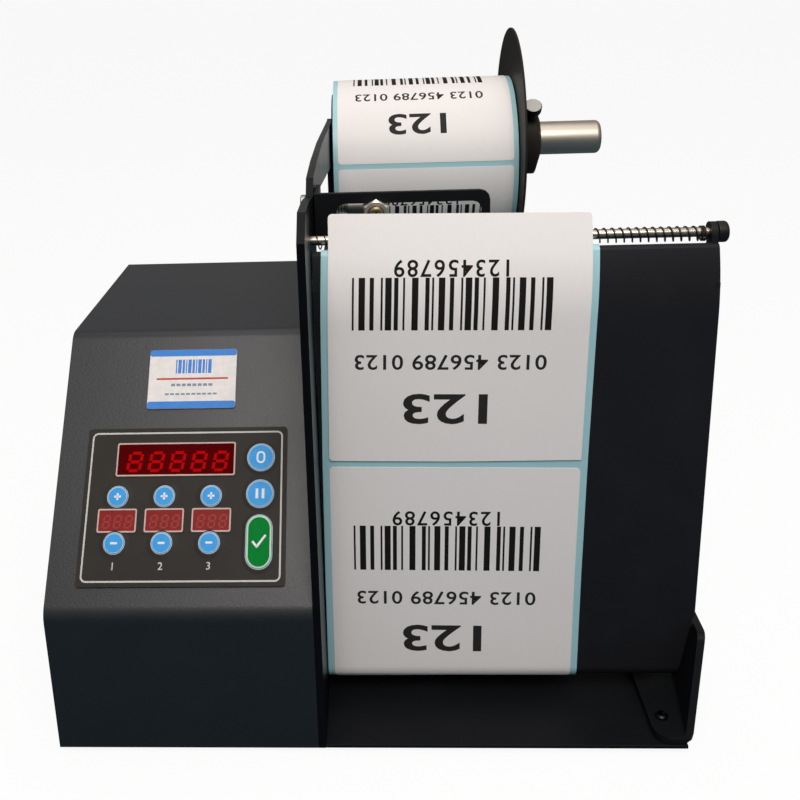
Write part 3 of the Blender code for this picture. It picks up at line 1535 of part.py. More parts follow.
def belt(name, x, first, first_radius, second, second_radius):
    """A round belt about two pulleys, a straight run on each side."""
    reach_one = first_radius + GAP
    reach_two = second_radius + GAP
    one, two, high = tangent_points(first, reach_one, second, reach_two, 1)
    low = tangent_points(first, reach_one, second, reach_two, -1)[2]
    outline = arc(first, reach_one, high, low + FULL_TURN, CURL_STEPS)
    outline += arc(second, reach_two, low, high, CURL_STEPS)
    return tube(name, [(x, y, z) for y, z in outline], BELT_RADIUS, "black_rubber", 1, True)


def make_drive():
    """Motor, belts, drive and pinch rollers and the rewind spindle."""
    groove_one = -PULLEY_START
    groove_two = groove_one - PULLEY_WIDTH
    shaft_left = groove_two - PULLEY_WIDTH - GAP
    driven = (DRIVE_Y, DRIVE_Z)
    pressed = (PINCH_Y, DRIVE_Z)
    driven_shaft = (DRIVE_SHAFT_RADIUS, shaft_left, journal_end(DRIVE_Y))
    pressed_shaft = (PINCH_SHAFT_RADIUS, GAP, journal_end(PINCH_Y))
    drive = roller("drive_roller", *driven, DRIVE_RADIUS, *driven_shaft, "black_rubber")
    roller("pinch_roller", *pressed, PINCH_RADIUS, *pressed_shaft, "brushed_steel")
    grooves = [(ROLLER_PULLEY_RADIUS, groove_one), (REWIND_DRIVER_RADIUS, groove_two)]
    pulley("roller_pulley", *driven, DRIVE_SHAFT_RADIUS, grooves, drive)
    spindle = turned(
        "rewind_spindle",
        [
            (REWIND_END, 0.0),
            (REWIND_END, REWIND_RADIUS),
            (ROLLER_LEFT - GAP, REWIND_RADIUS),
            (ROLLER_LEFT - GAP, REWIND_SHAFT_RADIUS),
            (shaft_left, REWIND_SHAFT_RADIUS),
            (shaft_left, 0.0),
        ],
        along_x(0.0, REWIND_Y, REWIND_Z),
        "brushed_steel",
    )
    grooves = [(REWIND_PULLEY_RADIUS, groove_two)]
    pulley("rewind_pulley", REWIND_Y, REWIND_Z, REWIND_SHAFT_RADIUS, grooves, spindle)
    turned(
        "liner_roll",
        [
            (ROLL_WIDTH, LINER_ROLL_RADIUS),
            (0.0, LINER_ROLL_RADIUS),
            (0.0, REWIND_RADIUS + GAP),
            (ROLL_WIDTH, REWIND_RADIUS + GAP),
        ],
        along_x(WEB_LEFT, REWIND_Y, REWIND_Z),
        "blue_liner",
        parent=spindle,
        bored=True,
    )
    turned(
        "web_guide_rod",
        [
            (WEB_ROD_END, 0.0),
            (WEB_ROD_END, WEB_ROD_RADIUS + WEB_ROD_COLLAR),
            (WEB_ROD_END - SHEET, WEB_ROD_RADIUS + WEB_ROD_COLLAR),
            (WEB_ROD_END - SHEET, WEB_ROD_RADIUS),
            (FRAME_THICKNESS + GAP, WEB_ROD_RADIUS),
            (FRAME_THICKNESS + GAP, 0.0),
        ],
        along_x(0.0, WEB_ROD_Y, WEB_ROD_Z),
        "brushed_steel",
        segments=SEGMENTS // 2,
    )
    make_motor(groove_one)
    middle_one = groove_one - PULLEY_WIDTH / 2
    middle_two = groove_two - PULLEY_WIDTH / 2
    motor, rewind = (MOTOR_Y, MOTOR_Z), (REWIND_Y, REWIND_Z)
    belt("drive_belt", middle_one, driven, ROLLER_PULLEY_RADIUS, motor, MOTOR_PULLEY_RADIUS)
    belt("rewind_belt", middle_two, driven, REWIND_DRIVER_RADIUS, rewind, REWIND_PULLEY_RADIUS)


def make_motor(groove_start):
    """The gear motor on its bracket, which stands on the box's bottom, and the motor's pulley."""
    face = -MOTOR_FACE
    turned(
        "motor",
        [
            (groove_start - PULLEY_WIDTH - GAP, 0.0),
            (groove_start - PULLEY_WIDTH - GAP, MOTOR_COLLAR_RADIUS - MOTOR_COLLAR_LENGTH),
            (face + MOTOR_COLLAR_LENGTH, MOTOR_COLLAR_RADIUS - MOTOR_COLLAR_LENGTH),
            (face + MOTOR_COLLAR_LENGTH, MOTOR_COLLAR_RADIUS),
            (face, MOTOR_COLLAR_RADIUS),
            (face, MOTOR_RADIUS),
            (face - MOTOR_LENGTH, MOTOR_RADIUS),
            (face - MOTOR_LENGTH, 0.0),
        ],
        along_x(0.0, MOTOR_Y, MOTOR_Z),
        "brushed_steel",
        segments=SEGMENTS // 2,
    )
    outline = groove(MOTOR_PULLEY_RADIUS, groove_start)
    outline = [(outline[0][0], 0.0), *outline, (outline[-1][0], 0.0)]
    turned("motor_pulley", outline, along_x(0.0, MOTOR_Y, MOTOR_Z), "black_plastic", segments=PULLEY_SEGMENTS)
    half = MOTOR_RADIUS + MOTOR_BRACKET_MARGIN
    floor = SHEET + GAP
    plate_left = face + GAP
    upright = block(
        "motor_bracket",
        (plate_left, MOTOR_Y - half, floor),
        (plate_left + MOTOR_BRACKET_SHEET, MOTOR_Y + half, MOTOR_Z + half),
        "brushed_steel",
    )
    foot = block(
        "motor_bracket_foot",
        (plate_left - MOTOR_LENGTH / 2, MOTOR_Y - half, floor),
        (plate_left + MOTOR_BRACKET_SHEET / 2, MOTOR_Y + half, floor + MOTOR_BRACKET_SHEET),
    )
    combine(upright, foot, "UNION")
    hole = cylinder(
        "motor_bracket_hole", MOTOR_COLLAR_RADIUS + GAP, MOTOR_BRACKET_SHEET + OVERRUN + OVERRUN,
        along_x(plate_left - OVERRUN, MOTOR_Y, MOTOR_Z),
    )
    combine(upright, hole)


def main():
    make_housing()
    make_keypad()
    make_board()
    make_box_closings()
    make_feet()
    make_frame_plate()
    make_base_plate()
    make_end_bracket()
    make_apron()
    make_guide_rod()
    make_sensor()
    make_roll()
    make_web()
    make_drive()


main()
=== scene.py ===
"""Label dispenser machine: its finishes and fine shapes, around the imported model."""

import contextlib
import math

import bmesh
import bpy
import numpy as np
from mathutils import Matrix, Vector

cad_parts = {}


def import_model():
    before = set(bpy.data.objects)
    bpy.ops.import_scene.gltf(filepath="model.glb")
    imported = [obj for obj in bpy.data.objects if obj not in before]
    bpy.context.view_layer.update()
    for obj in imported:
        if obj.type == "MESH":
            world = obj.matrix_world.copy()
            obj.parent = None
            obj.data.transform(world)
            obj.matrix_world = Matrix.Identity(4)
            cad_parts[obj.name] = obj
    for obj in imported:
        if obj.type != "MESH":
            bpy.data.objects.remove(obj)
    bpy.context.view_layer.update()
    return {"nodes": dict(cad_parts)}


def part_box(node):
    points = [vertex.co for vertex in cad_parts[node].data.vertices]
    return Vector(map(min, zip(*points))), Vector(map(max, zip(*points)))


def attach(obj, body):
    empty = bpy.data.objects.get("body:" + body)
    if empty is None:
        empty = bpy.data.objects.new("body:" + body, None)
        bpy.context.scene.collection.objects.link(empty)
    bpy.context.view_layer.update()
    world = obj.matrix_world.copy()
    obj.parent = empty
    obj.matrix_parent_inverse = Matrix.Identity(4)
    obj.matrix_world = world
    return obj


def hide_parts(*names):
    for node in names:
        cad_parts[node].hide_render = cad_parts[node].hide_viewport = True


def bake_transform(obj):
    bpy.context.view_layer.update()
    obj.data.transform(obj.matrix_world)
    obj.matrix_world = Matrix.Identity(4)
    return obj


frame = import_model()
NODES = frame["nodes"]

# Sizes in millimetres, from the side plate's lower front left corner

MM = 0.001
GAP = 0.3
ORIGIN = np.array(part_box("frame_plate")[0])
X_AXIS = (1.0, 0.0, 0.0)
Y_AXIS = (0.0, 1.0, 0.0)

BOX_FRONT_HEIGHT = 63.0
BOX_HEIGHT = 153.4
SLOPE_DEPTH = 76.4
SLOPE_ANGLE = math.atan2(BOX_HEIGHT - BOX_FRONT_HEIGHT, SLOPE_DEPTH)
SLOPE_UP = np.array((0.0, math.cos(SLOPE_ANGLE), math.sin(SLOPE_ANGLE)))
SLOPE_OUT = np.array((0.0, -math.sin(SLOPE_ANGLE), math.cos(SLOPE_ANGLE)))

OVERLAY = (53.0, 42.6)
OVERLAY_SIZE = (84.0, 64.0)
FILM_TOP = 1.1
FILM_LINE = ((1.75, 2.4), (2.45, 1.7))
NUMBER_UP = 18.6
COLUMNS = (80.5, 61.15, 41.8)
PLUS_UP = 46.1
MINUS_UP = 27.5
SMALL_KEY = (8.1, 8.1)
LARGE_KEY = (10.8, 10.8)
RIGHT_COLUMN = 21.7
RESET_UP = 61.7
PAUSE_UP = 46.8
CONFIRM_UP = 27.7
CONFIRM_SIZE = (10.2, 20.8)
KEY_TOP = FILM_TOP + 0.6
SIGN_LEVELS = (KEY_TOP + 0.05, KEY_TOP + 0.13)
RING_START = 0.14
RING_END = 0.38
COUNTER = (57.4, 61.6)
COUNTER_SIZE = (49.5, 13.6)
SETTING_UP = 36.8
SETTING_SIZE = (16.7, 9.7)
WINDOW_PROUD = 0.2
WINDOW_CORNER = 0.6
FIGURE_LEAN = math.tan(math.radians(9))
SEGMENTS = (
    ((-0.36, 0.5), (0.36, 0.5)), ((-0.36, 0.0), (0.36, 0.0)), ((-0.36, -0.5), (0.36, -0.5)),
    ((-0.5, 0.06), (-0.5, 0.44)), ((-0.5, -0.44), (-0.5, -0.06)),
    ((0.5, 0.06), (0.5, 0.44)), ((0.5, -0.44), (0.5, -0.06)),
)
NAME_PLATE = (52.4, 96.2)
NAME_PLATE_SIZE = (38.0, 26.3)
NAME_PLATE_THICKNESS = 0.7

SHAFT = (276.0, 200.6)
SHAFT_RADIUS = 10.0
SHAFT_END = 165.3
ROLL = (276.0, 191.0)
ROLL_LEFT = 4.8
ROLL_WIDTH = 105.5
ROLL_RADIUS = 48.0
CORE_RADIUS = 20.0
CORE_OUTSIDE = 22.5
DISC_LEFT = 110.9
DISC_THICKNESS = 1.2
DISC_RADIUS = 66.5
HUB_RADIUS = 21.5
HUB_FACE_RADIUS = 13.0
HUB_LENGTH = 16.2
HUB_CHAMFER = 3.0
INNER_DISC_RADIUS = 30.0
INNER_DISC_THICKNESS = 0.9
THUMB_X = 121.6
THUMB_SEAT = 28.0
THUMB_ANGLE = math.radians(45)
THUMB_RADIUS = 5.15
THUMB_LENGTH = 5.0

LABEL_SIDE = 100.0
LABEL_GAP = 3.0
LABEL_CORNER = 1.7
LABEL_GAP_HEIGHT = 113.9
LABEL_LEFT = ROLL_LEFT + (ROLL_WIDTH - LABEL_SIDE) / 2
WEB_SKIN = 0.45
LINER_HALF = 0.07
LABEL_HIGH = 0.22
STRIP_LEVELS = (16.0, 60.0, 113.9, 173.0, 205.0)
STRIP_SHIFTS = (-1.35, -1.1, -0.4, 0.9, 2.0)
STRIP_TILT = 0.0176
STRIP_REGISTER = -2.9
PEELED_LENGTH = 100.9
PEELED_SKIN = 1.05
BARS_ACROSS = (9.3, 85.5)
BAR_HEIGHTS = (55.7, 76.4)
# The label's figures: their middle across and up, height, width, boldness, spacing and ink
LABEL_FIGURES = (
    ("123456789", 47.0, 79.9, 6.7, 43.5, 0.012, 1.16, 0),
    ("0123 456789 0123", 47.4, 42.5, 6.4, 74.0, 0.014, 1.06, 1),
    ("123", 45.8, 22.8, 13.0, 33.0, 0.018, 1.0, 1),
)
ROLL_SEAM = math.radians(173.4)

APRON_Y = 28.9
CURL_RADIUS = 7.0
APRON_BOTTOM = 9.0
LEAN_START = 173.0
LEAN_RADIUS = 75.0
NOSE_HEIGHT = 198.5
NOSE_RADIUS = 2.2
NOSE_RETURN = 9.0
LEAN_ANGLE = math.asin((NOSE_HEIGHT - LEAN_START) / LEAN_RADIUS)
WEB_ROD = (304.0, 14.0)
WEB_ROD_RADIUS = 5.0
DRIVE = (60.0, 30.0)
DRIVE_RADIUS = 12.0
REWIND = (130.0, 100.0)
LINER_ROLL_RADIUS = 20.0

ROD = (39.7, 203.2)
ROD_RADIUS = 1.9
ROD_END = 156.7
CAP_RADIUS = 4.1
CAP_LENGTH = 4.1
SPRING_LEFT = 4.0
SPRING_RIGHT = 152.8
SPRING_RADIUS = 2.75
SPRING_SAG = 0.56
WIRE_RADIUS = 0.27
SPRING_PITCH = 3.05
CLOSED_TURNS = 3
TURN_POINTS = 28

BEND_RADIUS = 4.0
BEND_INSIDE = 2.3
BEND_OUTSIDE = 4.1
FOLDS = {
    "housing_shell": (
        ((0.0, BOX_FRONT_HEIGHT), (-1.0, 0.0), SLOPE_OUT[1:], 6.0),
        ((SLOPE_DEPTH, BOX_HEIGHT), SLOPE_OUT[1:], (0.0, 1.0), 3.0),
    )
}
SOLID_MERGE = 2e-6
FLAT_ANGLE = math.radians(0.6)
SLIT_REACH = 2e-5
SLITS = {"housing_shell": (-0.3, -0.02), "base_plate": (3.3, 3.02)}

SENSOR = (28.1, 210.1)
SENSOR_FRONT = 49.5
SENSOR_LENGTH = 30.0
SENSOR_RADIUS = 3.0
BRACKET_FACES = (56.0, 58.0)
NUT_FLATS = 10.0
NUT_HEIGHT = 3.0
STUD_Y = 67.5

CAMERA_PLACE = (27.014, -330.244, 303.992)
CAMERA_TURN = (-3.04, 16.25, -2.13)
LENS = 44.53
LENS_SHIFT = (0.0952, -0.177)
GROUND = (0.07, 0.12, 0.17, 1)
FLOOR_REACH = 60.0
GLOSS_SHARE = 0.07
FLOOR_GLOSS_SHARE = 0.02


def world(points):
    """Millimetres from the side plate's corner, as metres in the machine's frame."""
    return np.asarray(points, float) * MM + ORIGIN


def panel(line, at, out):
    """A flat outline laid on the sloping panel: its middle is put this far to the left of the panel's right
    edge and up the slope, and all of it moves out along the slope's normal."""
    flat = np.stack((line[:, 0] - at[0], np.zeros(len(line)), np.full(len(line), BOX_FRONT_HEIGHT)), 1)
    return world(flat + (at[1] + line[:, 1:2]) * SLOPE_UP + out * SLOPE_OUT)


# Outlines and surfaces


def arc(centre, radius, start, end, steps):
    """Points centre + radius (cos a, sin a), a running evenly from start to end."""
    turn = np.linspace(start, end, steps + 1)
    return np.stack((centre[0] + radius * np.cos(turn), centre[1] + radius * np.sin(turn)), 1)


def level(first, others):
    """Points with one first coordinate and these second ones."""
    return np.stack((np.full(len(others), first), others), 1)


def block(x, y, width, height):
    """A rectangle's outline from its lower left corner."""
    return np.array(((x, y), (x + width, y), (x + width, y + height), (x, y + height)))


def round_box(width, height, corner, steps=8):
    """A rectangle's outline whose corners are quarter circles, counter-clockwise about (0, 0)."""
    x, y = width / 2 - corner, height / 2 - corner
    quarter = math.pi / 2
    corners = ((x, -y, -1), (x, y, 0), (-x, y, 1), (-x, -y, 2))
    return np.concatenate([arc((a, b), corner, n * quarter, (n + 1) * quarter, steps) for a, b, n in corners])


def round_grid(width, height, corner, columns, rows):
    """A filled rectangle with round corners: each row spans the width less c - sqrt(c^2 - (c - d)^2) at both
    ends, for a corner c and a row at distance d from the nearer end."""
    near = corner * (1 - np.cos(np.linspace(0, math.pi / 2, 7)))
    middle = np.linspace(corner, height - corner, rows)[1:-1]
    v = np.concatenate((near, middle, height - near[::-1]))
    short = np.clip(corner - np.minimum(v, height - v), 0, corner)
    half = width / 2 - (corner - np.sqrt(corner**2 - short**2))
    u = np.linspace(-1, 1, columns) * half[:, None]
    return u, np.broadcast_to((v - height / 2)[:, None], u.shape)


def rounded(profile, radii, steps=4):
    """A line of (height, radius) points whose inner corners are replaced by arcs tangent to both sides."""
    profile = np.asarray(profile, float)
    line = [profile[:1]]
    for before, corner, after, radius in zip(profile, profile[1:], profile[2:], radii):
        if not radius:
            line.append(corner[None])
            continue
        one, two = ((end - corner) / np.linalg.norm(end - corner) for end in (before, after))
        half = math.acos(np.clip(one @ two, -1, 1)) / 2
        middle = corner + (one + two) / np.linalg.norm(one + two) * radius / math.sin(half)
        start, end = (corner + way * radius / math.tan(half) - middle for way in (one, two))
        first = math.atan2(start[1], start[0])
        sweep = (math.atan2(end[1], end[0]) - first + math.pi) % (2 * math.pi) - math.pi
        line.append(arc(middle, radius, first, first + sweep, steps))
    return np.concatenate((*line, profile[-1:]))


def rings(profile, start, axis, segments, reach=None):
    """Rings about an axis: start + h axis + r (cos a e1 + sin a e2) for each (h, r) of the profile. A reach
    gives another radius for each r and a."""
    side = np.cross(axis, (0.0, 0.0, 1.0))
    side /= np.linalg.norm(side)
    turn = np.arange(segments) * 2 * math.pi / segments
    circle = np.cos(turn)[:, None] * side + np.sin(turn)[:, None] * np.cross(axis, side)
    height, radius = np.asarray(profile, float).T[:, :, None]
    if reach:
        radius = reach(radius, turn)
    return world(np.asarray(start) + height[..., None] * axis + radius[..., None] * circle)


def tube_rings(line, radius, sides):
    """Circles across a line: point + radius (cos a n + sin a b), n kept level by projecting the last one."""
    ahead = np.gradient(line, axis=0)
    ahead /= np.linalg.norm(ahead, axis=1)[:, None]
    normals = [np.cross(ahead[0], (0.3, 0.5, 0.8))]
    for heading in ahead:
        normal = normals[-1] - heading * (normals[-1] @ heading)
        normals.append(normal / np.linalg.norm(normal))
    normals = np.array(normals[1:])
    binormals = np.cross(ahead, normals)
    turn = np.arange(sides) * 2 * math.pi / sides
    across = np.cos(turn)[:, None] * normals[:, None] + np.sin(turn)[:, None] * binormals[:, None]
    return world(line[:, None] + radius * across)


def quads(index):
    """The faces between neighbours of a grid, from the numbers of its points."""
    return np.stack((index[:-1, :-1], index[:-1, 1:], index[1:, 1:], index[1:, :-1]), -1).reshape(-1, 4)


class Shape:
    """Surfaces gathered into one piece, each with the number of its finish."""

    def __init__(self):
        self.points, self.faces, self.finishes = [], [], []
        self.count = 0

    def add(self, points, faces, finish=0):
        points = points.reshape(-1, 3)
        self.points.append(points)
        self.faces += [tuple(int(i) + self.count for i in face) for face in faces]
        self.finishes += [finish] * len(faces)
        self.count += len(points)

    def grid(self, points, finish=0, around=False, ends=False, closed=False):
        """Quads between neighbours of (rows, columns) points. Columns may run around, rows may close on
        themselves, and the end rows may be filled."""
        rows, columns = points.shape[:2]
        index = np.arange(rows * columns).reshape(rows, columns)
        faces = list(quads(np.pad(index, ((0, int(closed)), (0, int(around))), "wrap")))
        if ends:
            faces += [index[0, ::-1], index[-1]]
        self.add(points, faces, finish)

    def slab(self, top, low):
        """A closed sheet between two (rows, columns) grids."""
        self.grid(np.concatenate((top, low[:, ::-1]), 1), around=True)
        for row in (0, -1):
            self.grid(np.stack((top[row], low[row])))

    def turned(self, profile, start, axis, segments, finish=0, reach=None, **closing):
        """A profile turned about an axis."""
        self.grid(rings(profile, start, axis, segments, reach), finish, around=True, **closing)

    def piece(self, name, materials, node, slot, body="chassis", sharp=35.0):
        """The gathered surfaces as one object on a body, in a node's place or as an addition."""
        mesh = bpy.data.meshes.new(name)
        mesh.from_pydata(np.concatenate(self.points).tolist(), [], self.faces)
        for material in materials:
            mesh.materials.append(material)
        mesh.polygons.foreach_set("material_index", self.finishes)
        with merged(mesh, 1e-7) as shape:
            bmesh.ops.recalc_face_normals(shape, faces=shape.faces)
        settle(linked(name, mesh), node, body, sharp)


@contextlib.contextmanager
def merged(mesh, reach):
    """Opens a mesh for changes, with points that are nearer than this joined."""
    shape = bmesh.new()
    shape.from_mesh(mesh)
    bmesh.ops.remove_doubles(shape, verts=shape.verts, dist=reach)
    yield shape
    shape.to_mesh(mesh)
    shape.free()


def linked(name, data):
    """A new object in the scene."""
    made = bpy.data.objects.new(name, data)
    bpy.context.scene.collection.objects.link(made)
    return made


def settle(made, node, body, sharp, bevel=0.0):
    """Smooth faces with normals that keep flats flat, edges that are round where asked and sharp elsewhere,
    and the object's body and node."""
    mesh = made.data
    mesh.polygons.foreach_set("use_smooth", np.ones(len(mesh.polygons), bool))
    mesh.set_sharp_from_angle(angle=math.pi if bevel else math.radians(sharp))
    if bevel:
        edge = made.modifiers.new("edges", "BEVEL")
        edge.width = bevel * MM
        edge.segments = 3
        edge.limit_method = "ANGLE"
        edge.angle_limit = math.radians(sharp)
        edge.harden_normals = True
    made.modifiers.new("normals", "WEIGHTED_NORMAL").keep_sharp = True
    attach(made, body)
    if node:
        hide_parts(node)


def soften_fold(points, corner, first, second, growth):
    """A larger bend radius. Each point of the bend moves out from the bend's centre by the growth, and the
    centre moves in from the corner so that the bend still meets both faces."""
    first, second = np.array(first), np.array(second)
    inward = -(first + second) / (1.0 + first @ second)
    centre = world((0.0, *corner))[1:] + inward * BEND_RADIUS * MM
    arm = points[:, 1:] - centre
    reach = np.maximum(np.hypot(arm[:, 0], arm[:, 1]), 1e-9)
    way = arm / reach[:, None]
    past_first = first[0] * way[:, 1] - first[1] * way[:, 0]
    short_of_second = way[:, 0] * second[1] - way[:, 1] * second[0]
    bent = (past_first < 0.01) & (short_of_second < 0.01) & (way @ (first + second) > 0.0)
    bent &= (reach > BEND_INSIDE * MM) & (reach < BEND_OUTSIDE * MM)
    moved = centre + inward * growth * MM + way * (reach + growth * MM)[:, None]
    points[bent, 1:] = moved[bent]


def solid_copy(node, material, flats=True):
    """A copy of a node's solid in one material, with its doubles merged and its flats made whole."""
    mesh = NODES[node].data.copy()
    mesh.materials.clear()
    mesh.materials.append(material)
    with merged(mesh, SOLID_MERGE) as shape:
        if flats:
            bmesh.ops.dissolve_limit(shape, angle_limit=FLAT_ANGLE, verts=shape.verts, edges=shape.edges)
    mesh.polygons.foreach_set("material_index", np.zeros(len(mesh.polygons), np.int32))
    return mesh


def dressed(node, material, bevel):
    """A copy of a node's solid with its folds softened, its hairline closed and its edges rounded."""
    mesh = solid_copy(node, material)
    points = np.empty(len(mesh.vertices) * 3)
    mesh.vertices.foreach_get("co", points)
    points = points.reshape(-1, 3)
    for fold in FOLDS.get(node, ()):
        soften_fold(points, *fold)
    if node in SLITS:
        low, high = (world((x, 0.0, 0.0))[0] for x in SLITS[node])
        points[np.abs(points[:, 0] - low) < SLIT_REACH, 0] = high
    mesh.vertices.foreach_set("co", points.ravel())
    settle(linked(node + "_finished", mesh), node, "chassis", 30.0, bevel)


# Finishes


def srgb(red, green, blue):
    """A screen colour, 0 to 255, as the linear colour that a shader takes."""
    value = np.array((red, green, blue)) / 255
    linear = np.where(value < 0.04045, value / 12.92, ((value + 0.055) / 1.055) ** 2.4)
    return (*(float(v) for v in linear), 1.0)


class Value:
    """One output of a node. Arithmetic on it adds Math nodes."""

    def __init__(self, shader, socket):
        self.shader, self.socket = shader, socket

    def __add__(self, other):
        return self.shader.math("ADD", self, other)

    def __mul__(self, other):
        return self.shader.math("MULTIPLY", self, other)


class Shader:
    """The nodes of a material or of the surround, made by one method."""

    def __init__(self, owner):
        owner.use_nodes = True
        self.tree = owner.node_tree
        self.tree.nodes.clear()

    def feed(self, socket, value):
        if isinstance(value, Value):
            self.tree.links.new(value.socket, socket)
        else:
            socket.default_value = value

    def node(self, kind, values=None, output=0, stops=(), **settings):
        """Adds a node: its settings and stops first, then the values or links of its sockets."""
        made = self.tree.nodes.new("ShaderNode" + kind)
        for key, value in settings.items():
            setattr(made, key, value)
        for i, (place, grey) in enumerate(stops):
            made.color_ramp.elements[i].position = place
            made.color_ramp.elements[i].color = (grey, grey, grey, 1)
        for key, value in (values or {}).items():
            self.feed(made.inputs[key], value)
        return Value(self, made.outputs[output]) if made.outputs else made

    def math(self, operation, *values):
        return self.node("Math", dict(enumerate(values)), operation=operation)


class Finish(Shader):
    """A material in the making, around one Principled shader."""

    def __init__(self, name, colour, **constants):
        self.material = bpy.data.materials.new(name)
        super().__init__(self.material)
        self.colour = colour
        self.surface = self.node("BsdfPrincipled", {"Base Color": colour})
        self.output = self.node("OutputMaterial", {"Surface": self.surface})
        for socket, value in constants.items():
            self.set(socket.replace("_", " "), value)
        self.place = self.node("TexCoord", output="Object")

    def noise(self, scale, detail=2.0, stretch=(1.0, 1.0, 1.0)):
        """Noise of about one cycle in 1/scale metres, drawn out along the axes whose stretch is small."""
        where = self.node("Mapping", {"Vector": self.place, "Scale": stretch})
        return self.node("TexNoise", {"Vector": where, "Scale": scale, "Detail": detail})

    def mix(self, factor, first, second):
        """A colour between two."""
        return self.node("Mix", {0: factor, 6: first, 7: second}, output=2, data_type="RGBA")

    def set(self, socket, value):
        self.feed(self.surface.socket.node.inputs[socket], value)

    def tint(self, factor, light, dark):
        """The colour varied between a darker and a lighter shade of itself by a factor from 0 to 1."""
        low = (*(c * dark for c in self.colour[:3]), 1)
        high = (*(min(c * light, 1.0) for c in self.colour[:3]), 1)
        self.set("Base Color", self.mix(factor, low, high))

    def bump(self, height, depth):
        """A bump of this depth, in millimetres, from a height of 0 to 1."""
        self.set("Normal", self.node("Bump", {"Height": height, "Distance": depth * MM, "Strength": 1.0}))


def coated(name, colour, roughness=0.5, specular=0.5, grain=1100.0, depth=0.05):
    """Powder-coated steel: an orange-peel skin, a slow change of shade, and a little dust and rubbing."""
    finish = Finish(name, colour, Specular_IOR_Level=specular)
    peel = finish.noise(grain, 3.0)
    cloud = finish.noise(14.0, 3.0)
    rub = finish.node("ValToRGB", {"Fac": finish.noise(55.0, 6.0)}, stops=((0.48, 0.0), (0.72, 1.0)))
    finish.tint(cloud * 0.6 + rub * 0.25, 1.45, 0.8)
    finish.set("Roughness", cloud * 0.12 + peel * 0.10 + (roughness - 0.11))
    finish.bump(peel, depth)
    return finish.material


def plastic(name, colour, roughness=0.35, specular=0.5, grain=700.0, depth=0.02):
    """Moulded plastic or rubber: a fine grain and faint smears of gloss."""
    finish = Finish(name, colour, Specular_IOR_Level=specular)
    grains = finish.noise(grain, 2.0)
    smear = finish.noise(22.0, 4.0)
    finish.tint(smear, 1.25, 0.85)
    finish.set("Roughness", smear * 0.16 + (roughness - 0.08))
    finish.bump(grains, depth)
    return finish.material


def metal(name, colour, roughness=0.28, stretch=(1.0, 0.02, 0.02), lines=2600.0, depth=0.012, stain=0.2):
    """Bare or plated metal: fine machining lines along one way, and slightly uneven gloss."""
    finish = Finish(name, colour, Metallic=1.0)
    line = finish.noise(lines, 3.0, stretch)
    spot = finish.noise(60.0, 4.0)
    finish.tint(line * 0.6 + spot * 0.4, 1.0 + stain, 1.0 - stain)
    finish.set("Roughness", line * 0.14 + spot * 0.10 + (roughness - 0.12))
    finish.bump(line, depth)
    return finish.material


def paper(name, colour, roughness=0.5, specular=0.35, fibre=0.05):
    """Coated paper: faint fibres in its shade and its surface."""
    finish = Finish(name, colour, Specular_IOR_Level=specular)
    fibres = finish.noise(900.0, 4.0, (1.0, 0.35, 0.35))
    cloud = finish.noise(18.0, 2.0)
    finish.tint(fibres * 0.5 + cloud * 0.5, 1.0 + fibre, 1.0 - fibre)
    finish.set("Roughness", cloud * 0.12 + (roughness - 0.06))
    finish.bump(fibres * 0.6 + cloud * 0.4, 0.02)
    return finish.material


def printed(name, colour, roughness=0.5, glow=0.0, specular=0.12):
    """Ink or lacquer: slightly uneven cover, with its own faint light where it is lit from behind."""
    finish = Finish(name, colour, Roughness=roughness, Emission_Color=colour, Emission_Strength=glow,
                    Specular_IOR_Level=specular)
    finish.tint(finish.noise(420.0, 3.0), 1.12, 0.86)
    finish.bump(finish.noise(1500.0, 1.0), 0.006)
    return finish.material


def layered(name, pale, deep, radius):
    """The wound ends of the roll: rings of paper and liner about the roll's middle."""
    finish = Finish(name, pale, Specular_IOR_Level=0.25, Roughness=0.6)
    middle = world((0.0, *ROLL))
    offset = finish.node("VectorMath", {0: finish.place, 1: (0.0, float(middle[1]), float(middle[2]))},
                         operation="SUBTRACT")
    flat = finish.node("VectorMath", {0: offset, 1: (0.0, 1.0, 1.0)}, operation="MULTIPLY")
    reach = finish.node("VectorMath", {0: flat}, output="Value", operation="LENGTH")
    wobble = finish.noise(90.0, 3.0)
    turns = finish.math("SINE", reach * (2 * math.pi / (radius * MM)) + wobble * 1.5)
    band = finish.noise(160.0, 2.0)
    finish.set("Base Color", finish.mix(turns * 0.28 + band * 0.5 + 0.25, deep, pale))
    finish.bump(turns * 0.5 + 0.5, 0.06)
    return finish.material


BOX_COAT = coated("box_powder_coat", srgb(21, 26, 32), 0.44, 0.57)
PLATE_COAT = coated("plate_powder_coat", srgb(17, 19, 22), 0.46, 0.12, 1500.0, 0.03)
APRON_COAT = coated("apron_powder_coat", srgb(28, 29, 33), 0.5, 0.14, 1500.0, 0.03)
FRAME_COAT = coated("frame_anodised", srgb(9, 10, 13), 0.34, 0.12, 1900.0, 0.015)
FILM = coated("overlay_film_print", srgb(48, 46, 43), 0.5, 0.1, 1700.0, 0.02)
WHITE_LINE = printed("white_print", srgb(198, 198, 196))
KEY_SIGN = printed("key_sign_white", srgb(232, 236, 240))
RING_WHITE = printed("key_ring_white", srgb(176, 206, 230))
RING_GREEN = printed("key_ring_green", srgb(196, 222, 202))
KEY_BLUE = printed("key_blue_print", srgb(62, 158, 228), 0.42)
KEY_GREEN = printed("key_green_print", srgb(0, 126, 50), 0.5, specular=0.04)
COUNTER_RED = printed("counter_window_red", srgb(80, 6, 9), 0.3, specular=0.0)
SETTING_RED = printed("setting_window_red", srgb(134, 42, 40), 0.4, specular=0.05)
DIGIT_RED = printed("digit_red", srgb(176, 8, 12), 0.4, 0.06, 0.0)
DIGIT_FAINT = printed("digit_faint", srgb(152, 58, 54), 0.4)
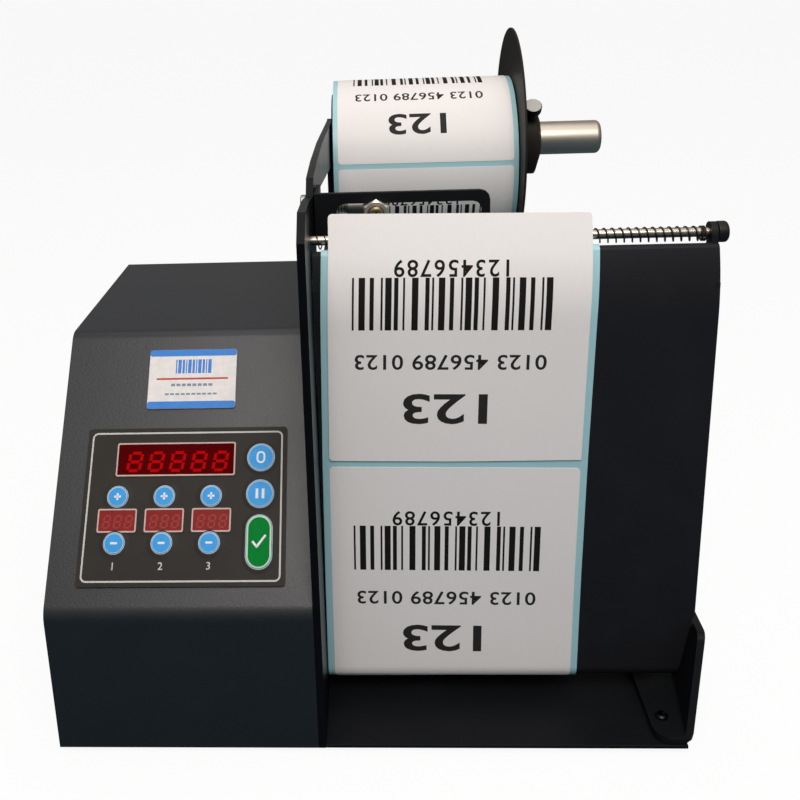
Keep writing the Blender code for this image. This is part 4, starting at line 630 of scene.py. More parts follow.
WINDOW_LINE = printed("window_line", srgb(200, 176, 168))
PLATE_WHITE = printed("name_plate_white", srgb(228, 226, 225), 0.45)
PLATE_BLUE = printed("name_plate_blue", srgb(68, 134, 214), 0.45)
PLATE_RED = printed("name_plate_red", srgb(190, 74, 70), 0.45)
PLATE_GREY = printed("name_plate_grey", srgb(128, 142, 164), 0.45)
LABEL_PAPER = paper("label_paper_white", srgb(238, 236, 235), 0.5, 0.25)
LINER_PAPER = paper("liner_paper_teal", srgb(166, 210, 218), 0.36, 0.4, 0.08)
INK = printed("label_ink", srgb(26, 25, 24), 0.6)
INK_GREY = printed("label_ink_grey", srgb(44, 44, 43), 0.6)
ROLL_ENDS = layered("roll_end_layers", srgb(206, 216, 216), srgb(120, 160, 170), 0.9)
CARDBOARD = paper("core_cardboard", srgb(158, 126, 92), 0.8, 0.15, 0.16)
SHAFT_STEEL = metal("shaft_steel", srgb(192, 184, 172), 0.42, (1.0, 0.02, 0.02), 2400.0, 0.004, 0.05)
ROD_STEEL = metal("rod_steel", srgb(184, 176, 164), 0.26)
WIRE_STEEL = metal("spring_wire_steel", srgb(84, 78, 72), 0.34)
PLATED_STEEL = metal("plated_steel", srgb(186, 184, 178), 0.36)
STUD_GREY = metal("stud_matte_grey", srgb(158, 158, 156), 0.55)
THUMB_STEEL = metal("thumb_screw_steel", srgb(166, 166, 162), 0.55)
NUT_NICKEL = metal("nut_nickel", srgb(232, 226, 216), 0.38)
BARREL_BRASS = metal("barrel_brass", srgb(176, 158, 122), 0.34)
MOTOR_STEEL = metal("motor_steel", srgb(150, 150, 150), 0.4)
DISC_PLASTIC = plastic("disc_plastic", srgb(40, 36, 31), 0.5, 0.1)
# Black moulded plastic; the sensor's end slot also uses it as painted shade.
BLACK_PLASTIC_AND_SHADE = plastic("black_plastic_moulded_and_painted_shade", srgb(18, 18, 19), 0.42, 0.3)
CABLE_PVC = plastic("lead_pvc", srgb(18, 18, 19), 0.45, 0.3)
RUBBER = plastic("black_rubber_ground", srgb(25, 25, 26), 0.75, 0.3, 1600.0, 0.05)
BELT_RUBBER = plastic("belt_rubber", srgb(30, 29, 28), 0.6, 0.3)
# Blackened steel for the black screws; on the thumb screw's head side the same dark finish is painted shade.
BLACK_SCREW_AND_SHADE = metal("blackened_steel_and_painted_shade", srgb(38, 38, 40), 0.38)
BOARD_GREEN = plastic("board_green_resist", srgb(20, 84, 46), 0.35)


# Keypad


def on_overlay(shape, outline, at, low, high, finish, inner=None):
    """A thin raised print on the panel: a ribbon between two outlines, or the whole of one."""
    levels = [(outline, low), (outline, high)]
    if inner is not None:
        levels = [(inner, low), (inner, high), *levels[::-1]]
    rows = np.stack([panel(line, at, out) for line, out in levels])
    shape.grid(rows, finish, around=True, ends=inner is None, closed=inner is not None)


def cushion(shape, size, corner, at, levels, finish=0, ends=True):
    """Round-cornered outlines, drawn in by each level's inset and put at its height."""
    rows = []
    for inset, out in levels:
        line = round_box(size[0] - 2 * inset, size[1] - 2 * inset, max(corner - inset, 1e-3), 12)
        rows.append(panel(line, at, out))
    shape.grid(np.stack(rows), finish, around=True, ends=ends)


def glyphs(text, height, bold, spacing=1.0, slices=0.0):
    """The outlines of plain figures as flat points and faces, centred, this tall in millimetres, and cut
    into slices that can follow a curve."""
    curve = bpy.data.curves.new("figures", "FONT")
    curve.body = text
    curve.offset = bold
    curve.space_character = spacing
    curve.resolution_u = 4
    guide = linked("figures", curve)
    mesh = bpy.data.meshes.new_from_object(guide.evaluated_get(bpy.context.evaluated_depsgraph_get()))
    points = np.array([v.co for v in mesh.vertices])
    low, high = points.min(0), points.max(0)
    points = (points - (low + high) / 2) * height / (high[1] - low[1])
    mesh.vertices.foreach_set("co", points.ravel())
    shape = bmesh.new()
    shape.from_mesh(mesh)
    if slices:
        for cut in np.arange(-height / 2 + slices, height / 2, slices):
            everything = shape.verts[:] + shape.edges[:] + shape.faces[:]
            bmesh.ops.bisect_plane(shape, geom=everything, plane_co=(0, cut, 0), plane_no=(0, 1, 0))
    points = np.array([v.co for v in shape.verts])
    faces = [[v.index for v in f.verts] for f in shape.faces]
    shape.free()
    bpy.data.objects.remove(guide)
    bpy.data.curves.remove(curve)
    bpy.data.meshes.remove(mesh)
    return points, faces


def stroke(line, width):
    """A flat bar of this width along a straight line between two points."""
    start, end = np.asarray(line, float)
    along = (end - start) / np.linalg.norm(end - start)
    side = np.array((-along[1], along[0])) * width / 2
    return np.array((start - side, end - side, end + side, start + side))


def key(name, at, size, colour, marks, emboss, reach, ring=0.42):
    """A key: a domed cap with a pale ring, a coloured face and its sign, and the film's embossing round it,
    which slopes as a half cosine from the key's hole to the flat film."""
    corner = min(size) / 2
    shape = Shape()
    cap = ((0.0, -0.6), (0.0, KEY_TOP - 0.3), (0.06, KEY_TOP - 0.1), (0.2, KEY_TOP), (ring, KEY_TOP + 0.02))
    dome = ((ring, 0.0), (ring, 0.05), (ring + 0.12, 0.08), (ring + corner * 0.5, 0.1))
    cushion(shape, size, corner, at, cap)
    cushion(shape, size, corner, at, [(inset, KEY_TOP + up) for inset, up in dome], 1)
    for mark in marks:
        on_overlay(shape, mark, at, *SIGN_LEVELS, 2)
    rim, slot = (RING_GREEN, "green_key") if colour is KEY_GREEN else (RING_WHITE, "blue_key")
    shape.piece(name + "_cap", [rim, colour, KEY_SIGN], name, slot, name)
    slope = []
    for share in np.linspace(0.0, 1.0, 9):
        rise = 0.26 * (0.5 + 0.5 * math.cos(math.pi * share))
        slope.append((-RING_END - reach * share, FILM_TOP + 0.02 + rise))
    wall = [(-RING_START, FILM_TOP - 0.5), (-RING_START, FILM_TOP + 0.28), slope[0]]
    cushion(emboss, size, corner, at, wall, 1, ends=False)
    cushion(emboss, size, corner, at, slope, ends=False)


def make_window(name, at, size, colour, glow, figures, line_at, line_size, figures_at):
    """A display window: its tinted pane, a pale line on it, the film's dark print outside that line and, behind
    the tint, a row of figures of seven bars each that lean to the right."""
    shape = Shape()
    top = FILM_TOP + WINDOW_PROUD
    cushion(shape, size, WINDOW_CORNER, at, ((0.0, -0.8), (0.0, top - 0.12), (0.12, top)))
    outer = round_box(*line_size, WINDOW_CORNER + 0.2)
    inner = round_box(line_size[0] - 1.2, line_size[1] - 1.2, WINDOW_CORNER - 0.1)
    on_overlay(shape, outer, line_at, top - 0.05, top + 0.05, 1, inner)
    rim = round_box(size[0] + 1.6, size[1] + 1.6, WINDOW_CORNER + 0.8)
    rim += (line_at[0] - at[0], at[1] - line_at[1])
    on_overlay(shape, rim, line_at, FILM_TOP + 0.01, top + 0.03, 3, outer)
    wide, tall, count, pitch, width = figures
    for i in range(count):
        for ends in SEGMENTS:
            bar = stroke(np.array(ends) * (wide - width, tall - width), width * 0.82)
            bar[:, 0] += bar[:, 1] * FIGURE_LEAN + (i - (count - 1) / 2) * pitch
            on_overlay(shape, bar, figures_at, top - 0.02, top + 0.03, 2)
    shape.piece(name + "_pane", [colour, WINDOW_LINE, glow, FILM], name, "red_window")


def make_keypad():
    """The film with its prints and embossing, the keys and the windows."""
    dressed("keypad_overlay", FILM, 0.12)
    prints, emboss, zero = Shape(), Shape(), Shape()
    width, height = OVERLAY_SIZE
    line, inside = (round_box(width - 2 * edge, height - 2 * edge, corner) for edge, corner in FILM_LINE)
    on_overlay(prints, line, OVERLAY, FILM_TOP - 0.02, FILM_TOP + 0.03, 0, inside)
    minus = [stroke(((-1.4, 0), (1.4, 0)), 0.85)]
    plus = minus + [stroke(((0, -1.4), (0, 1.4)), 0.85)]
    pause = [stroke(((x, -2.0), (x, 2.0)), 1.1) for x in (-1.25, 1.25)]
    tick = [stroke(((-2.6, 0.2), (-0.7, -2.1)), 0.9), stroke(((-1.05, -2.25), (2.7, 2.6)), 0.9)]
    for number, across in enumerate(COLUMNS, 1):
        points, faces = glyphs(str(number), 3.0, 0.01)
        prints.add(panel(points, (across, NUMBER_UP), FILM_TOP + 0.02), faces)
        for sign, up, marks in (("plus", PLUS_UP, plus), ("minus", MINUS_UP, minus)):
            key(f"{sign}_key_{number}", (across, up), SMALL_KEY, KEY_BLUE, marks, emboss, 2.2)
        middle = (across - 0.4, SETTING_UP - 0.3)
        make_window(f"setting_window_{number}", (across, SETTING_UP), SETTING_SIZE, SETTING_RED, DIGIT_FAINT,
                    (3.3, 5.6, 3, 4.5, 0.8), middle, (16.1, 9.5), (middle[0] - 0.3, middle[1] - 0.5))
    prints.piece("overlay_prints", [WHITE_LINE], None, "overlay_film")
    for name, up, size, colour, marks, ring in (
        ("pause_key", PAUSE_UP, LARGE_KEY, KEY_BLUE, pause, 0.42),
        ("reset_key", RESET_UP, LARGE_KEY, KEY_BLUE, (), 0.42),
        ("confirm_key", CONFIRM_UP, CONFIRM_SIZE, KEY_GREEN, tick, 0.75),
    ):
        key(name, (RIGHT_COLUMN, up), size, colour, marks, emboss, 1.9, ring)
    emboss.piece("key_embossing", [FILM, RING_WHITE], None, "overlay_film")
    zero_outer, zero_inner = round_box(3.6, 5.0, 1.79, 10), round_box(2.1, 3.5, 1.04, 10)
    on_overlay(zero, zero_outer, (RIGHT_COLUMN, RESET_UP), *SIGN_LEVELS, 0, zero_inner)
    zero.piece("reset_key_sign", [KEY_SIGN], None, "blue_key", "reset_key")
    across, up = COUNTER
    line = (COUNTER_SIZE[0] + 0.3, COUNTER_SIZE[1] + 0.3)
    make_window("counter_window", COUNTER, COUNTER_SIZE, COUNTER_RED, DIGIT_RED, (6.5, 8.9, 5, 8.95, 1.55),
                (across - 0.1, up - 0.2), line, (across - 0.9, up - 1.2))


def make_name_plate():
    """The plate above the keypad: pale, with two blue bands, a red line and plain bars."""
    shape = Shape()
    width, height = NAME_PLATE_SIZE
    top = GAP + NAME_PLATE_THICKNESS
    cushion(shape, NAME_PLATE_SIZE, 1.2, NAME_PLATE, ((0.0, GAP), (0.0, top - 0.15), (0.15, top)))
    prints = [(round_box(31.0, 0.8, 0.2, 2), 2)]
    for side, band in ((1, 2.9), (-1, 3.1)):
        prints.append((round_box(width - 0.16, band, 1.1) + (0.0, side * (height / 2 - 0.08 - band / 2)), 1))
    x = -7.4
    for i in range(11):
        bar = 0.55 + 0.45 * ((i * 5) % 3)
        prints.append((block(x, 2.4, bar, 6.2), 1))
        x += bar + 0.45
    for low, reach, tall in ((-3.3, 9.0, 1.1), (-7.2, 11.5, 0.8)):
        prints += [(block(x, low, 1.7, tall), 3) for x in np.arange(-reach, reach, 2.3)]
    for outline, finish in prints:
        on_overlay(shape, outline, NAME_PLATE, top, top + 0.03, finish)
    materials = [PLATE_WHITE, PLATE_BLUE, PLATE_RED, PLATE_GREY]
    shape.piece("name_plate_finished", materials, "name_plate", "white_plate")


# The strip and its labels


def strip_shift(y, z):
    """The strip's lean to the left going down the apron, read between levels, and none away from it."""
    near = np.clip((70.0 - y) / 20.0, 0.0, 1.0)
    return near * np.interp(z, STRIP_LEVELS, STRIP_SHIFTS)


class Path:
    """A line in the machine's side view, measured along its length, with its left-hand normals. It may lean as
    the strip does."""

    def __init__(self, line, leans=True):
        apart = np.linalg.norm(np.diff(line, axis=0), axis=1) > 1e-6
        self.line = line[np.concatenate(([True], apart))]
        steps = np.linalg.norm(np.diff(self.line, axis=0), axis=1)
        self.length = np.concatenate(([0.0], np.cumsum(steps)))
        ahead = np.gradient(self.line, self.length, axis=0)
        ahead /= np.linalg.norm(ahead, axis=1)[:, None]
        self.normal = np.stack((-ahead[:, 1], ahead[:, 0]), 1)
        self.leans = leans

    def at(self, x, s, lift):
        """Points at x across, s along and lift off the line."""
        x, s, lift = np.broadcast_arrays(x, s, lift)
        columns = (*self.line.T, *self.normal.T)
        y, z, ny, nz = (np.interp(s, self.length, column) for column in columns)
        y, z = y + ny * lift, z + nz * lift
        return world(np.stack((x + self.leans * strip_shift(y, z), y, z), -1))

    def on_label(self, x, s, lift):
        """Points of a label: further along the more they are to the left, as the label is turned with the
        strip."""
        return self.at(x, s + self.leans * STRIP_TILT * (ROLL_LEFT + ROLL_WIDTH / 2 - x), lift)


def tangent(first, first_radius, second, second_radius, side=1):
    """Where the line that touches two circles on the same side meets each, and its heading."""
    first, second = np.array(first), np.array(second)
    apart = second - first
    lean = math.acos((first_radius - second_radius) / np.linalg.norm(apart))
    heading = math.atan2(apart[1], apart[0]) + side * lean
    out = np.array((math.cos(heading), math.sin(heading)))
    return first + out * first_radius, second + out * second_radius, heading


def apron_lean(skin, steps):
    """The arc along which the apron's top leans back, moved out by a skin."""
    return arc((APRON_Y + LEAN_RADIUS, LEAN_START), LEAN_RADIUS + skin, math.pi, math.pi - LEAN_ANGLE, steps)


def strip_path():
    """The whole strip in side view: down from the roll, round the rear rod, forward, round the apron's curl and
    up it, over the peel edge, down to the drive roller and round it to the rewound liner."""
    leave, meet_rod, rod_heading = tangent(ROLL, ROLL_RADIUS + WEB_SKIN, WEB_ROD, WEB_ROD_RADIUS + WEB_SKIN)
    curl = (APRON_Y + CURL_RADIUS, APRON_BOTTOM + CURL_RADIUS)
    nose = apron_lean(-NOSE_RADIUS, 1)[1]
    drive_reach = DRIVE_RADIUS + WEB_SKIN
    _, meet, heading = tangent(DRIVE, drive_reach, REWIND, LINER_ROLL_RADIUS + WEB_SKIN, -1)
    return np.concatenate((
        leave + np.linspace(0, 1, 30)[:-1, None] * (meet_rod - leave),
        arc(WEB_ROD, WEB_ROD_RADIUS + WEB_SKIN, rod_heading, -math.pi / 2, 12),
        arc(curl, CURL_RADIUS + WEB_SKIN, 1.5 * math.pi, math.pi, 16),
        level(APRON_Y - WEB_SKIN, np.linspace(curl[1], LEAN_START, 42)[1:-1]),
        apron_lean(WEB_SKIN, 24),
        arc(nose, NOSE_RADIUS + WEB_SKIN, math.pi - LEAN_ANGLE, 0.0, 20)[1:],
        ((nose[0] + NOSE_RADIUS + WEB_SKIN, nose[1] - NOSE_RETURN),),
        arc(DRIVE, drive_reach, math.pi, heading + 2 * math.pi, 40),
        meet[None],
    ))


STRIP = Path(strip_path())


def bars(first, last, modules=92):
    """The dark bars of a made-up pattern: widths of 1 to 4 modules from a fixed rule, in alternation."""
    at, i, found = 0, 0, []
    while at < modules - 3 or i % 2 == 0:
        width = 1 + (i * i + 3 * i + i // 3) % (4 if i % 2 == 0 else 3)
        if i % 2 == 0:
            found.append((at, at + width))
        at += width
        i += 1
    module = (last - first) / found[-1][1]
    return [(first + start * module, first + end * module - 0.08) for start, end in found]


def label(name, path, foot, lift=LINER_HALF, body="chassis", node=None, cut=LABEL_SIDE, register=0.0, prints=True):
    """One label: a thin sheet with round corners that follows the path, and its print, upside down as it comes
    off the roll, which the register moves along."""
    u, v = round_grid(LABEL_SIDE, cut, LABEL_CORNER, 14, 64)
    x, s = LABEL_LEFT + LABEL_SIDE / 2 + u, foot + cut / 2 + v
    lift_print = lift + LABEL_HIGH + 0.02
    sheet = Shape()
    sheet.slab(path.on_label(x, s, lift + LABEL_HIGH), path.on_label(x, s, lift))
    sheet.piece(name, [LABEL_PAPER], node, "label_paper", body)
    if not prints:
        return
    foot += register
    ink = Shape()
    for text, middle, height, tall, wide, bold, spacing, finish in LABEL_FIGURES:
        points, faces = glyphs(text, tall, bold, spacing, 1.5)
        across = points[:, 0] * wide / np.ptp(points[:, 0])
        spots = path.on_label(LABEL_LEFT + middle - across, foot + height - points[:, 1], lift_print)
        ink.add(spots, faces, finish)
    s = np.linspace(*BAR_HEIGHTS, 12)[:, None] + foot
    for ends in bars(*BARS_ACROSS):
        ink.grid(path.on_label(LABEL_LEFT + np.array(ends), s, lift_print))
    ink.piece(name + "_print", [INK, INK_GREY], None, "label_paper", body)


def make_strip():
    """The liner, the label on the apron, those that follow it and the one that is being peeled."""
    liner = Shape()
    x, s = ROLL_LEFT + np.linspace(0, ROLL_WIDTH, 15), STRIP.length[:, None]
    liner.slab(STRIP.at(x, s, LINER_HALF), STRIP.at(x, s, -LINER_HALF))
    liner.piece("liner_strip", [LINER_PAPER], "label_web", "blue_liner")
    y, z = STRIP.line.T
    on_front = (np.abs(y - (APRON_Y - WEB_SKIN)) < 0.01) & (z < LEAN_START + 0.01)
    gap_top = np.interp(LABEL_GAP_HEIGHT, z[on_front], STRIP.length[on_front])
    pitch = LABEL_SIDE + LABEL_GAP
    for number, foot in enumerate(np.arange(gap_top - pitch, 8.0, -pitch), 2):
        label(f"strip_label_{number}", STRIP, foot, register=STRIP_REGISTER, prints=number < 5)
    turn = apron_lean(PEELED_SKIN, 16)
    ahead = np.array((math.sin(LEAN_ANGLE), math.cos(LEAN_ANGLE)))
    peel = Path(np.concatenate((
        level(APRON_Y - PEELED_SKIN, np.linspace(LABEL_GAP_HEIGHT, LEAN_START, 21)[:-1]),
        turn,
        turn[-1] + ahead * np.linspace(0.0, 30.0, 16)[1:, None],
    )))
    label("peeled_label_sheet", peel, 0.0, -0.1, node="peeled_label", cut=PEELED_LENGTH)


# Roll, core, shaft and flanges


def turned_piece(name, profile, radii, start, material, node, slot, segments=64, closed=False, body="chassis"):
    """A piece turned about the machine's width, in a node's place; a closed profile has a bore."""
    shape = Shape()
    shape.turned(rounded(profile, radii), start, X_AXIS, segments, ends=not closed, closed=closed)
    shape.piece(name, [material], node, slot, body)


def make_roll():
    """The wound labels with their layered ends, the last wrap's labels, and the cardboard core."""
    start = (ROLL_LEFT, *ROLL)
    inside, outside = CORE_OUTSIDE + GAP, ROLL_RADIUS - 0.3
    rise = np.linspace(inside, outside, 24)
    wound = Shape()
    wound.turned(((0.0, outside), (ROLL_WIDTH, outside)), start, X_AXIS, 160)
    for profile in (level(0.0, rise), level(ROLL_WIDTH, rise), ((0.0, inside), (ROLL_WIDTH, inside))):
        wound.turned(profile, start, X_AXIS, 160, 1)
    wound.piece("wound_labels", [LINER_PAPER, ROLL_ENDS], "label_roll", "label_paper", "roll")
    pitch = LABEL_GAP + LABEL_SIDE
    seam = pitch + 1.0
    first = ROLL_SEAM + seam / outside
    turn = Path(arc(ROLL, outside, first, first - 2 * math.pi, 300), leans=False)
    spare = 2 * math.pi * outside - seam - pitch - LABEL_GAP
    label("roll_label_1", turn, seam, 0.02, "roll")
    label("roll_label_2", turn, seam - pitch, 0.02, "roll")
    label("roll_label_3", turn, seam + pitch, 0.02, "roll", cut=spare, prints=False)
    wall = ((0.0, CORE_RADIUS), (0.0, CORE_OUTSIDE), (ROLL_WIDTH, CORE_OUTSIDE), (ROLL_WIDTH, CORE_RADIUS))
    turned_piece("cardboard_core", wall, (0.3, 0.3), start, CARDBOARD, "roll_core", "cardboard", 96, True, "roll")


def thread(start, end, outer, inner, pitch):
    """A threaded stretch as (height, radius) ridges, a pitch apart."""
    steps = np.arange(2 * int((end - start) / pitch) + 1)
    return np.stack((start + (end - start) * steps / steps[-1], np.where(steps % 2, outer, inner)), 1)


def make_shaft():
    """The large bar, the flanges on it and the screw that holds it."""
    start, bore = (0.0, *SHAFT), SHAFT_RADIUS + GAP
    bar = ((0.3, 0.0), (0.3, 6.0), (3.3, 6.0), (3.3, SHAFT_RADIUS), (SHAFT_END, SHAFT_RADIUS), (SHAFT_END, 0.0))
    turned_piece("steel_shaft", bar, (0.0, 0.0, 0.2, 2.8), start, SHAFT_STEEL, "roll_shaft", "brushed_steel", 96)
    hub_top = DISC_THICKNESS + HUB_LENGTH
    disc = (
        (0.0, bore), (0.0, DISC_RADIUS), (DISC_THICKNESS, DISC_RADIUS), (DISC_THICKNESS, HUB_RADIUS),
        (hub_top - HUB_CHAMFER, HUB_RADIUS), (hub_top, HUB_FACE_RADIUS), (hub_top, bore),
    )
    turned_piece("side_disc", disc, (0.4, 0.4, 0.7, 0.6, 0.5), (DISC_LEFT, *SHAFT), DISC_PLASTIC, "outer_flange",
                 "black_plastic", 192, True, "outer_flange")
    wide, reach = INNER_DISC_THICKNESS, INNER_DISC_RADIUS
    left = (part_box("inner_flange")[0][0] - ORIGIN[0]) / MM
    turned_piece("inner_disc", ((0.0, bore), (0.0, reach), (wide, reach), (wide, bore)), (0.3, 0.3), (left, *SHAFT),
                 DISC_PLASTIC, "inner_flange", "black_plastic", 96, True)
    low = -GAP - 2.6
    screw = ((low, 0.0), (low, 6.5), (-GAP, 6.5), (-GAP, 3.0), (12.0, 3.0), (12.0, 0.0))
    turned_piece("shaft_screw_finished", screw, (0.8, 0.2, 0.0, 0.4), start, BLACK_SCREW_AND_SHADE, "shaft_screw",
                 "brushed_steel")


def make_thumb_screw():
    """The knurled screw that locks the outer disc: its head's side and face, and its threaded stem. The head's side
    is painted shade: it is the same steel as its pale face, but takes the dark blackened-steel finish because it
    lies in shadow.
    """
    start = (THUMB_X, *SHAFT)
    radial = np.array((0.0, -math.cos(THUMB_ANGLE), math.sin(THUMB_ANGLE)))
    seat, tip, face_radius = THUMB_SEAT, SHAFT_RADIUS + 2 * GAP, THUMB_RADIUS - 0.5
    head = seat + THUMB_LENGTH

    def knurls(radius, turn):
        return radius * (1.0 - 0.035 * (0.5 + 0.5 * np.cos(24 * turn)))

    screw = Shape()
    side = rounded(((seat, 0.0), (seat, THUMB_RADIUS), (head - 0.6, THUMB_RADIUS), (head, face_radius)), (0.5, 0.2))
    # Painted shade: finish 1 makes the head's knurled side dark, as though it were in shadow under the lit face.
    screw.turned(side, start, radial, 192, 1, knurls)
    screw.turned(level(head, np.linspace(face_radius, 0.0, 8)), start, radial, 192, 0, knurls)
    ridges = thread(tip, seat - 1.2, 2.4, 2.1, 0.7)
    stem = np.concatenate((((tip, 0.0),), ridges, ((seat - 1.2, 3.1), (seat, 3.1), (seat, 0.0))))
    screw.turned(stem, start, radial, 48, 1, ends=True)
    screw.piece("thumb_screw_head", [THUMB_STEEL, BLACK_SCREW_AND_SHADE], "thumb_screw", "brushed_steel", "thumb_screw")


# Guide rod, spring and sensor


def make_rod():
    """The polished rod, the spring wire wound round it with its last turns closed up, and the end cap."""
    start = (0.0, *ROD)
    rod = ((GAP, 0.0), (GAP, ROD_RADIUS), (ROD_END, ROD_RADIUS), (ROD_END, 0.0))
    turned_piece("polished_rod", rod, (0.3, 0.3), start, ROD_STEEL, "guide_rod", "brushed_steel", 32)
    closed_pitch = 2 * WIRE_RADIUS + 0.06
    open_length = SPRING_RIGHT - SPRING_LEFT - CLOSED_TURNS * closed_pitch
    count = round(open_length / SPRING_PITCH) * TURN_POINTS
    steps = np.full(count + CLOSED_TURNS * TURN_POINTS, closed_pitch / TURN_POINTS)
    steps[:count] = open_length / count
    x = SPRING_LEFT + np.concatenate(([0.0], np.cumsum(steps)))
    turn = np.arange(len(x)) * 2 * math.pi / TURN_POINTS
    around = (ROD[0] + SPRING_RADIUS * np.cos(turn), ROD[1] - SPRING_SAG + SPRING_RADIUS * np.sin(turn))
    wire = Shape()
    wire.grid(tube_rings(np.stack((x, *around), 1), WIRE_RADIUS, 8), around=True, ends=True)
    wire.piece("spring_wire", [WIRE_STEEL], "rod_spring", "spring_steel")
    near, far = ROD_END + GAP, ROD_END + GAP + CAP_LENGTH
    cap = ((near, 0.0), (near, CAP_RADIUS), (far, CAP_RADIUS), (far, 1.3), (far - 1.5, 1.3), (far - 1.5, 0.0))
    turned_piece("rod_cap", cap, (0.4, 1.3, 0.15, 0.0), start, BLACK_PLASTIC_AND_SHADE, "rod_end_cap", "black_anodised", 48)


def nut_reach(radius, turn):
    """A chamfered nut: a hexagon's reach, 1 / cos a from its nearest flat, where that is less than the radius."""
    side = math.pi / 3
    return np.minimum(NUT_FLATS / 2 / np.cos((turn + side / 2) % side - side / 2), radius)


def make_sensor():
    """The threaded barrel with its lens and a slot of painted shade across its end, the two nuts, and the stud that
    holds the bracket.
    """
    x, z = SENSOR
    start, rear_radius, rear = (x, SENSOR_FRONT, z), SENSOR_RADIUS - 0.3, SENSOR_LENGTH - 8.0
    barrel = np.concatenate((
        ((1.1, 0.0), (1.1, 1.5), (0.0, 1.7), (0.0, SENSOR_RADIUS - 0.4)),
        thread(0.6, rear, SENSOR_RADIUS, SENSOR_RADIUS - 0.28, 0.75),
        ((rear, rear_radius), (SENSOR_LENGTH, rear_radius), (SENSOR_LENGTH, 0.0)),
    ))
    shape = Shape()
    shape.turned(barrel, start, Y_AXIS, 40, ends=True)
    lens = arc((1.15, 0.0), 1.0, math.pi, math.pi / 2, 6) * (0.6, 1.0) + (0.4, 0.0)
    shape.turned(lens, start, Y_AXIS, 24, 1, ends=True)
    # Painted shade: the slot across the barrel's end is two thin black blocks just inside its face. They stand for
    # a groove's dark, and no groove is cut.
    for side in (-1.0, 1.0):
        painted_slot_shade = block(-0.35, 1.15, 0.7, 1.3) * (1.0, side)
        rows = [np.insert(painted_slot_shade, 1, depth, 1) + start for depth in (0.02, 0.5)]
        shape.grid(world(rows), 1, around=True, ends=True)
    shape.piece("sensor_barrel_thread", [BARREL_BRASS, BLACK_PLASTIC_AND_SHADE], "sensor_barrel", "brass", "sensor")
    hole, high = SENSOR_RADIUS + GAP / 2, NUT_HEIGHT
    profile = (
        (0.0, 4.7), (0.45, 6.0), (high - 0.45, 6.0), (high, 4.7),
        (high, hole + 0.25), (high - 0.25, hole), (0.25, hole), (0.0, hole + 0.25),
    )
    for end, low in (("front", BRACKET_FACES[0] - GAP - high), ("rear", BRACKET_FACES[1] + GAP)):
        nut = Shape()
        nut.turned(profile, (x, low, z), Y_AXIS, 72, reach=nut_reach, closed=True)
        nut.piece(f"sensor_nut_{end}_chamfered", [NUT_NICKEL], "sensor_nut_" + end, "brushed_steel", "sensor", 25.0)
    stud = ((-2.8, 0.0), (-2.8, 4.6), (-2.4, 5.2), (-GAP, 5.2), *thread(-GAP + 0.1, 16.0, 3.0, 2.6, 1.1))
    sleeve = ((16.0, 2.8), (16.5, 3.0), (16.7, 3.5), (22.8, 3.5), (23.3, 3.1), (23.3, 0.0))
    shape = Shape()
    for finish, profile in enumerate((stud, sleeve)):
        shape.turned(profile, (0.0, STUD_Y, z), X_AXIS, 40, finish)
    shape.piece("bracket_stud_thread", [PLATED_STEEL, STUD_GREY], "bracket_stud", "brushed_steel")


def make_lead():
    """The sensor's lead: a smooth copy of its solid, which bends down to its hole in the side plate."""
    mesh = solid_copy("sensor_lead", CABLE_PVC, flats=False)
    mesh.polygons.foreach_set("use_smooth", np.ones(len(mesh.polygons), bool))
    made = linked("sensor_lead_sheath", mesh)
    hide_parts("sensor_lead")
    low, high = (np.array(corner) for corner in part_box("sensor_barrel"))
    held = (low + high) / 2
    held[1] = high[1]
    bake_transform(made)


# Everything else that keeps its solid


CARRIED = (
    (BOX_COAT, "black_powder_coat", {"housing_shell": 0.6, "rear_panel": 0.2, "box_bottom": 0.2}),
    (PLATE_COAT, "black_powder_coat", {"base_plate": 0.3, "end_bracket": 0.35, "sensor_bracket": 0.3}),
    (APRON_COAT, "black_powder_coat", {"apron": 0.2}),
    (FRAME_COAT, "black_anodised", {"frame_plate": 0.35}),
    (BLACK_SCREW_AND_SHADE, "black_anodised", {"end_bracket_screw": 0.15}),
    (PLATED_STEEL, "brushed_steel", {"motor_bracket": 0.2}),
)
KEPT = (
    (BLACK_PLASTIC_AND_SHADE, "motor_pulley roller_pulley rewind_pulley power_inlet power_rocker"),
    (RUBBER, "drive_roller foot_1 foot_2 foot_3 foot_4"),
    (PLATED_STEEL, "pinch_roller rewind_spindle web_guide_rod"),
    (BELT_RUBBER, "drive_belt rewind_belt"),
    (MOTOR_STEEL, "motor"),
    (LINER_PAPER, "liner_roll"),
    (BOARD_GREEN, "control_board"),
)


def make_carried():
    for material, slot, bevels in CARRIED:
        for node, bevel in bevels.items():
            dressed(node, material, bevel)
    for material, nodes in KEPT:
        for node in nodes.split():
            NODES[node].data.materials.clear()
            NODES[node].data.materials.append(material)


# Camera, light and floor


def make_camera():
    """The photograph's viewpoint: heading, pitch and roll about a place in front of the machine."""
    yaw, pitch, roll = (math.radians(a) for a in CAMERA_TURN)
    ahead = Vector((math.sin(yaw) * math.cos(pitch), math.cos(yaw) * math.cos(pitch), -math.sin(pitch)))
    right = Vector((math.cos(yaw), -math.sin(yaw), 0))
    up = right.cross(ahead)
    side = right * math.cos(roll) + up * math.sin(roll)
    top = -right * math.sin(roll) + up * math.cos(roll)
    lens = bpy.data.cameras.new("camera")
    lens.lens = LENS
    lens.sensor_width = 36.0
    lens.shift_x, lens.shift_y = LENS_SHIFT
    camera = bpy.context.scene.camera = linked("camera", lens)
    turned = Matrix((side, top, -ahead)).transposed().to_4x4()
    camera.matrix_world = Matrix.Translation(world(CAMERA_PLACE)) @ turned


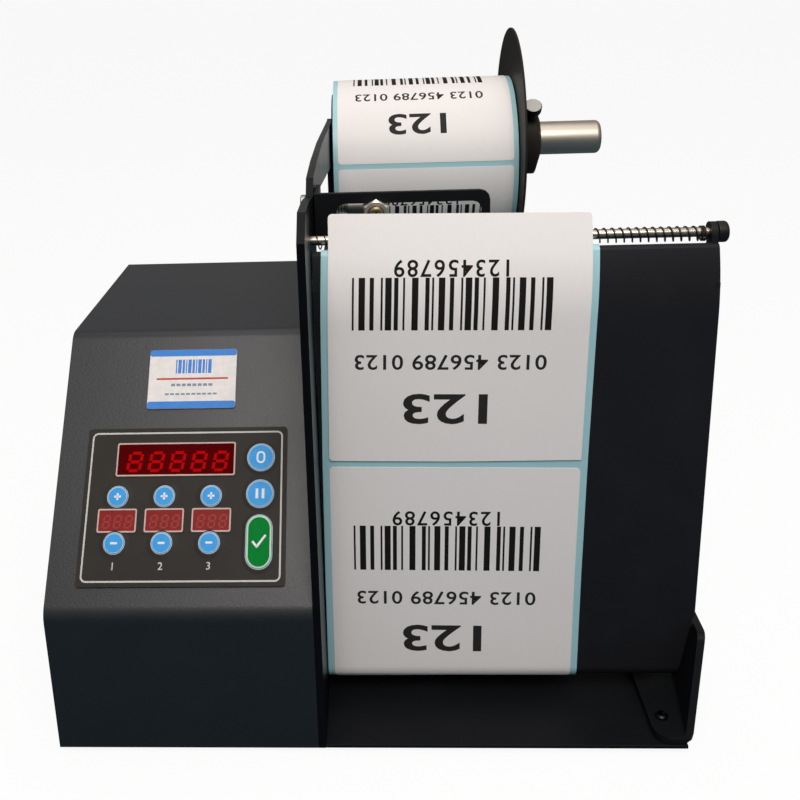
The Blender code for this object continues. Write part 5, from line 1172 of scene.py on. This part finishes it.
def lamp(name, place, target, size, power, colour):
    light = bpy.data.lights.new(name, "AREA")
    light.shape = "RECTANGLE"
    light.size, light.size_y = size
    light.energy = power
    light.color = colour
    made = linked(name, light)
    made.location = place
    made.rotation_euler = (Vector(target) - Vector(place)).to_track_quat("-Z", "Y").to_euler()


def under_white(shader, surface, white, seen, glossy):
    """A surface mixed with plain white: this much of it for the camera's rays, and a part for gloss and glass."""
    total = 0.0
    for ray, share in (("Camera", seen), ("Glossy", glossy), ("Transmission", glossy)):
        found = shader.node("LightPath", output=f"Is {ray} Ray")
        total = shader.node("Math", {0: found, 1: share, 2: total}, operation="MULTIPLY_ADD", use_clamp=True)
    return shader.node("MixShader", {0: total, 1: surface, 2: white})


def make_studio():
    """A pale floor, a white surround for camera and gloss, and soft lamps above and in front."""
    scene = bpy.context.scene
    scene.world = bpy.data.worlds.new("studio")
    around = Shader(scene.world)
    dim = around.node("Background", {"Color": (1.0, 0.97, 0.93, 1), "Strength": 0.26})
    bright = around.node("Background", {"Color": (0.95, 0.95, 0.95, 1)})
    around.node("OutputWorld", {"Surface": under_white(around, dim, bright, 1.0, GLOSS_SHARE)})

    finish = Finish("floor_pale", GROUND, Roughness=0.8, Specular_IOR_Level=0.1)
    seen = finish.node("LightPath", output="Is Camera Ray")
    finish.set("Base Color", finish.mix(seen, GROUND, (1.0, 1.0, 1.0, 1)))
    both = under_white(finish, finish.surface, finish.node("Emission"), 0.92, FLOOR_GLOSS_SHARE)
    finish.feed(finish.output.inputs["Surface"], both)
    x, y = np.meshgrid(*[np.linspace(-FLOOR_REACH, FLOOR_REACH, 9)] * 2)
    mesh = bpy.data.meshes.new("floor")
    mesh.from_pydata(np.stack((x, y, 0 * x), -1).reshape(-1, 3).tolist(), [], quads(np.arange(81).reshape(9, 9)).tolist())
    mesh.materials.append(finish.material)
    linked("floor", mesh)
    lamp("key_lamp", (0.05, -0.74, 0.95), (0.0, -0.05, 0.15), (0.6, 0.5), 8.0, (1.0, 0.94, 0.9))
    lamp("top_lamp", (0.05, 0.05, 1.15), (0.0, 0.02, 0.15), (0.9, 0.7), 3.3, (1.0, 0.93, 0.88))
    scene.view_settings.view_transform = "Standard"


make_camera()
make_studio()
make_keypad()
make_name_plate()
make_strip()
make_roll()
make_shaft()
make_thumb_screw()
make_rod()
make_sensor()
make_lead()
make_carried()
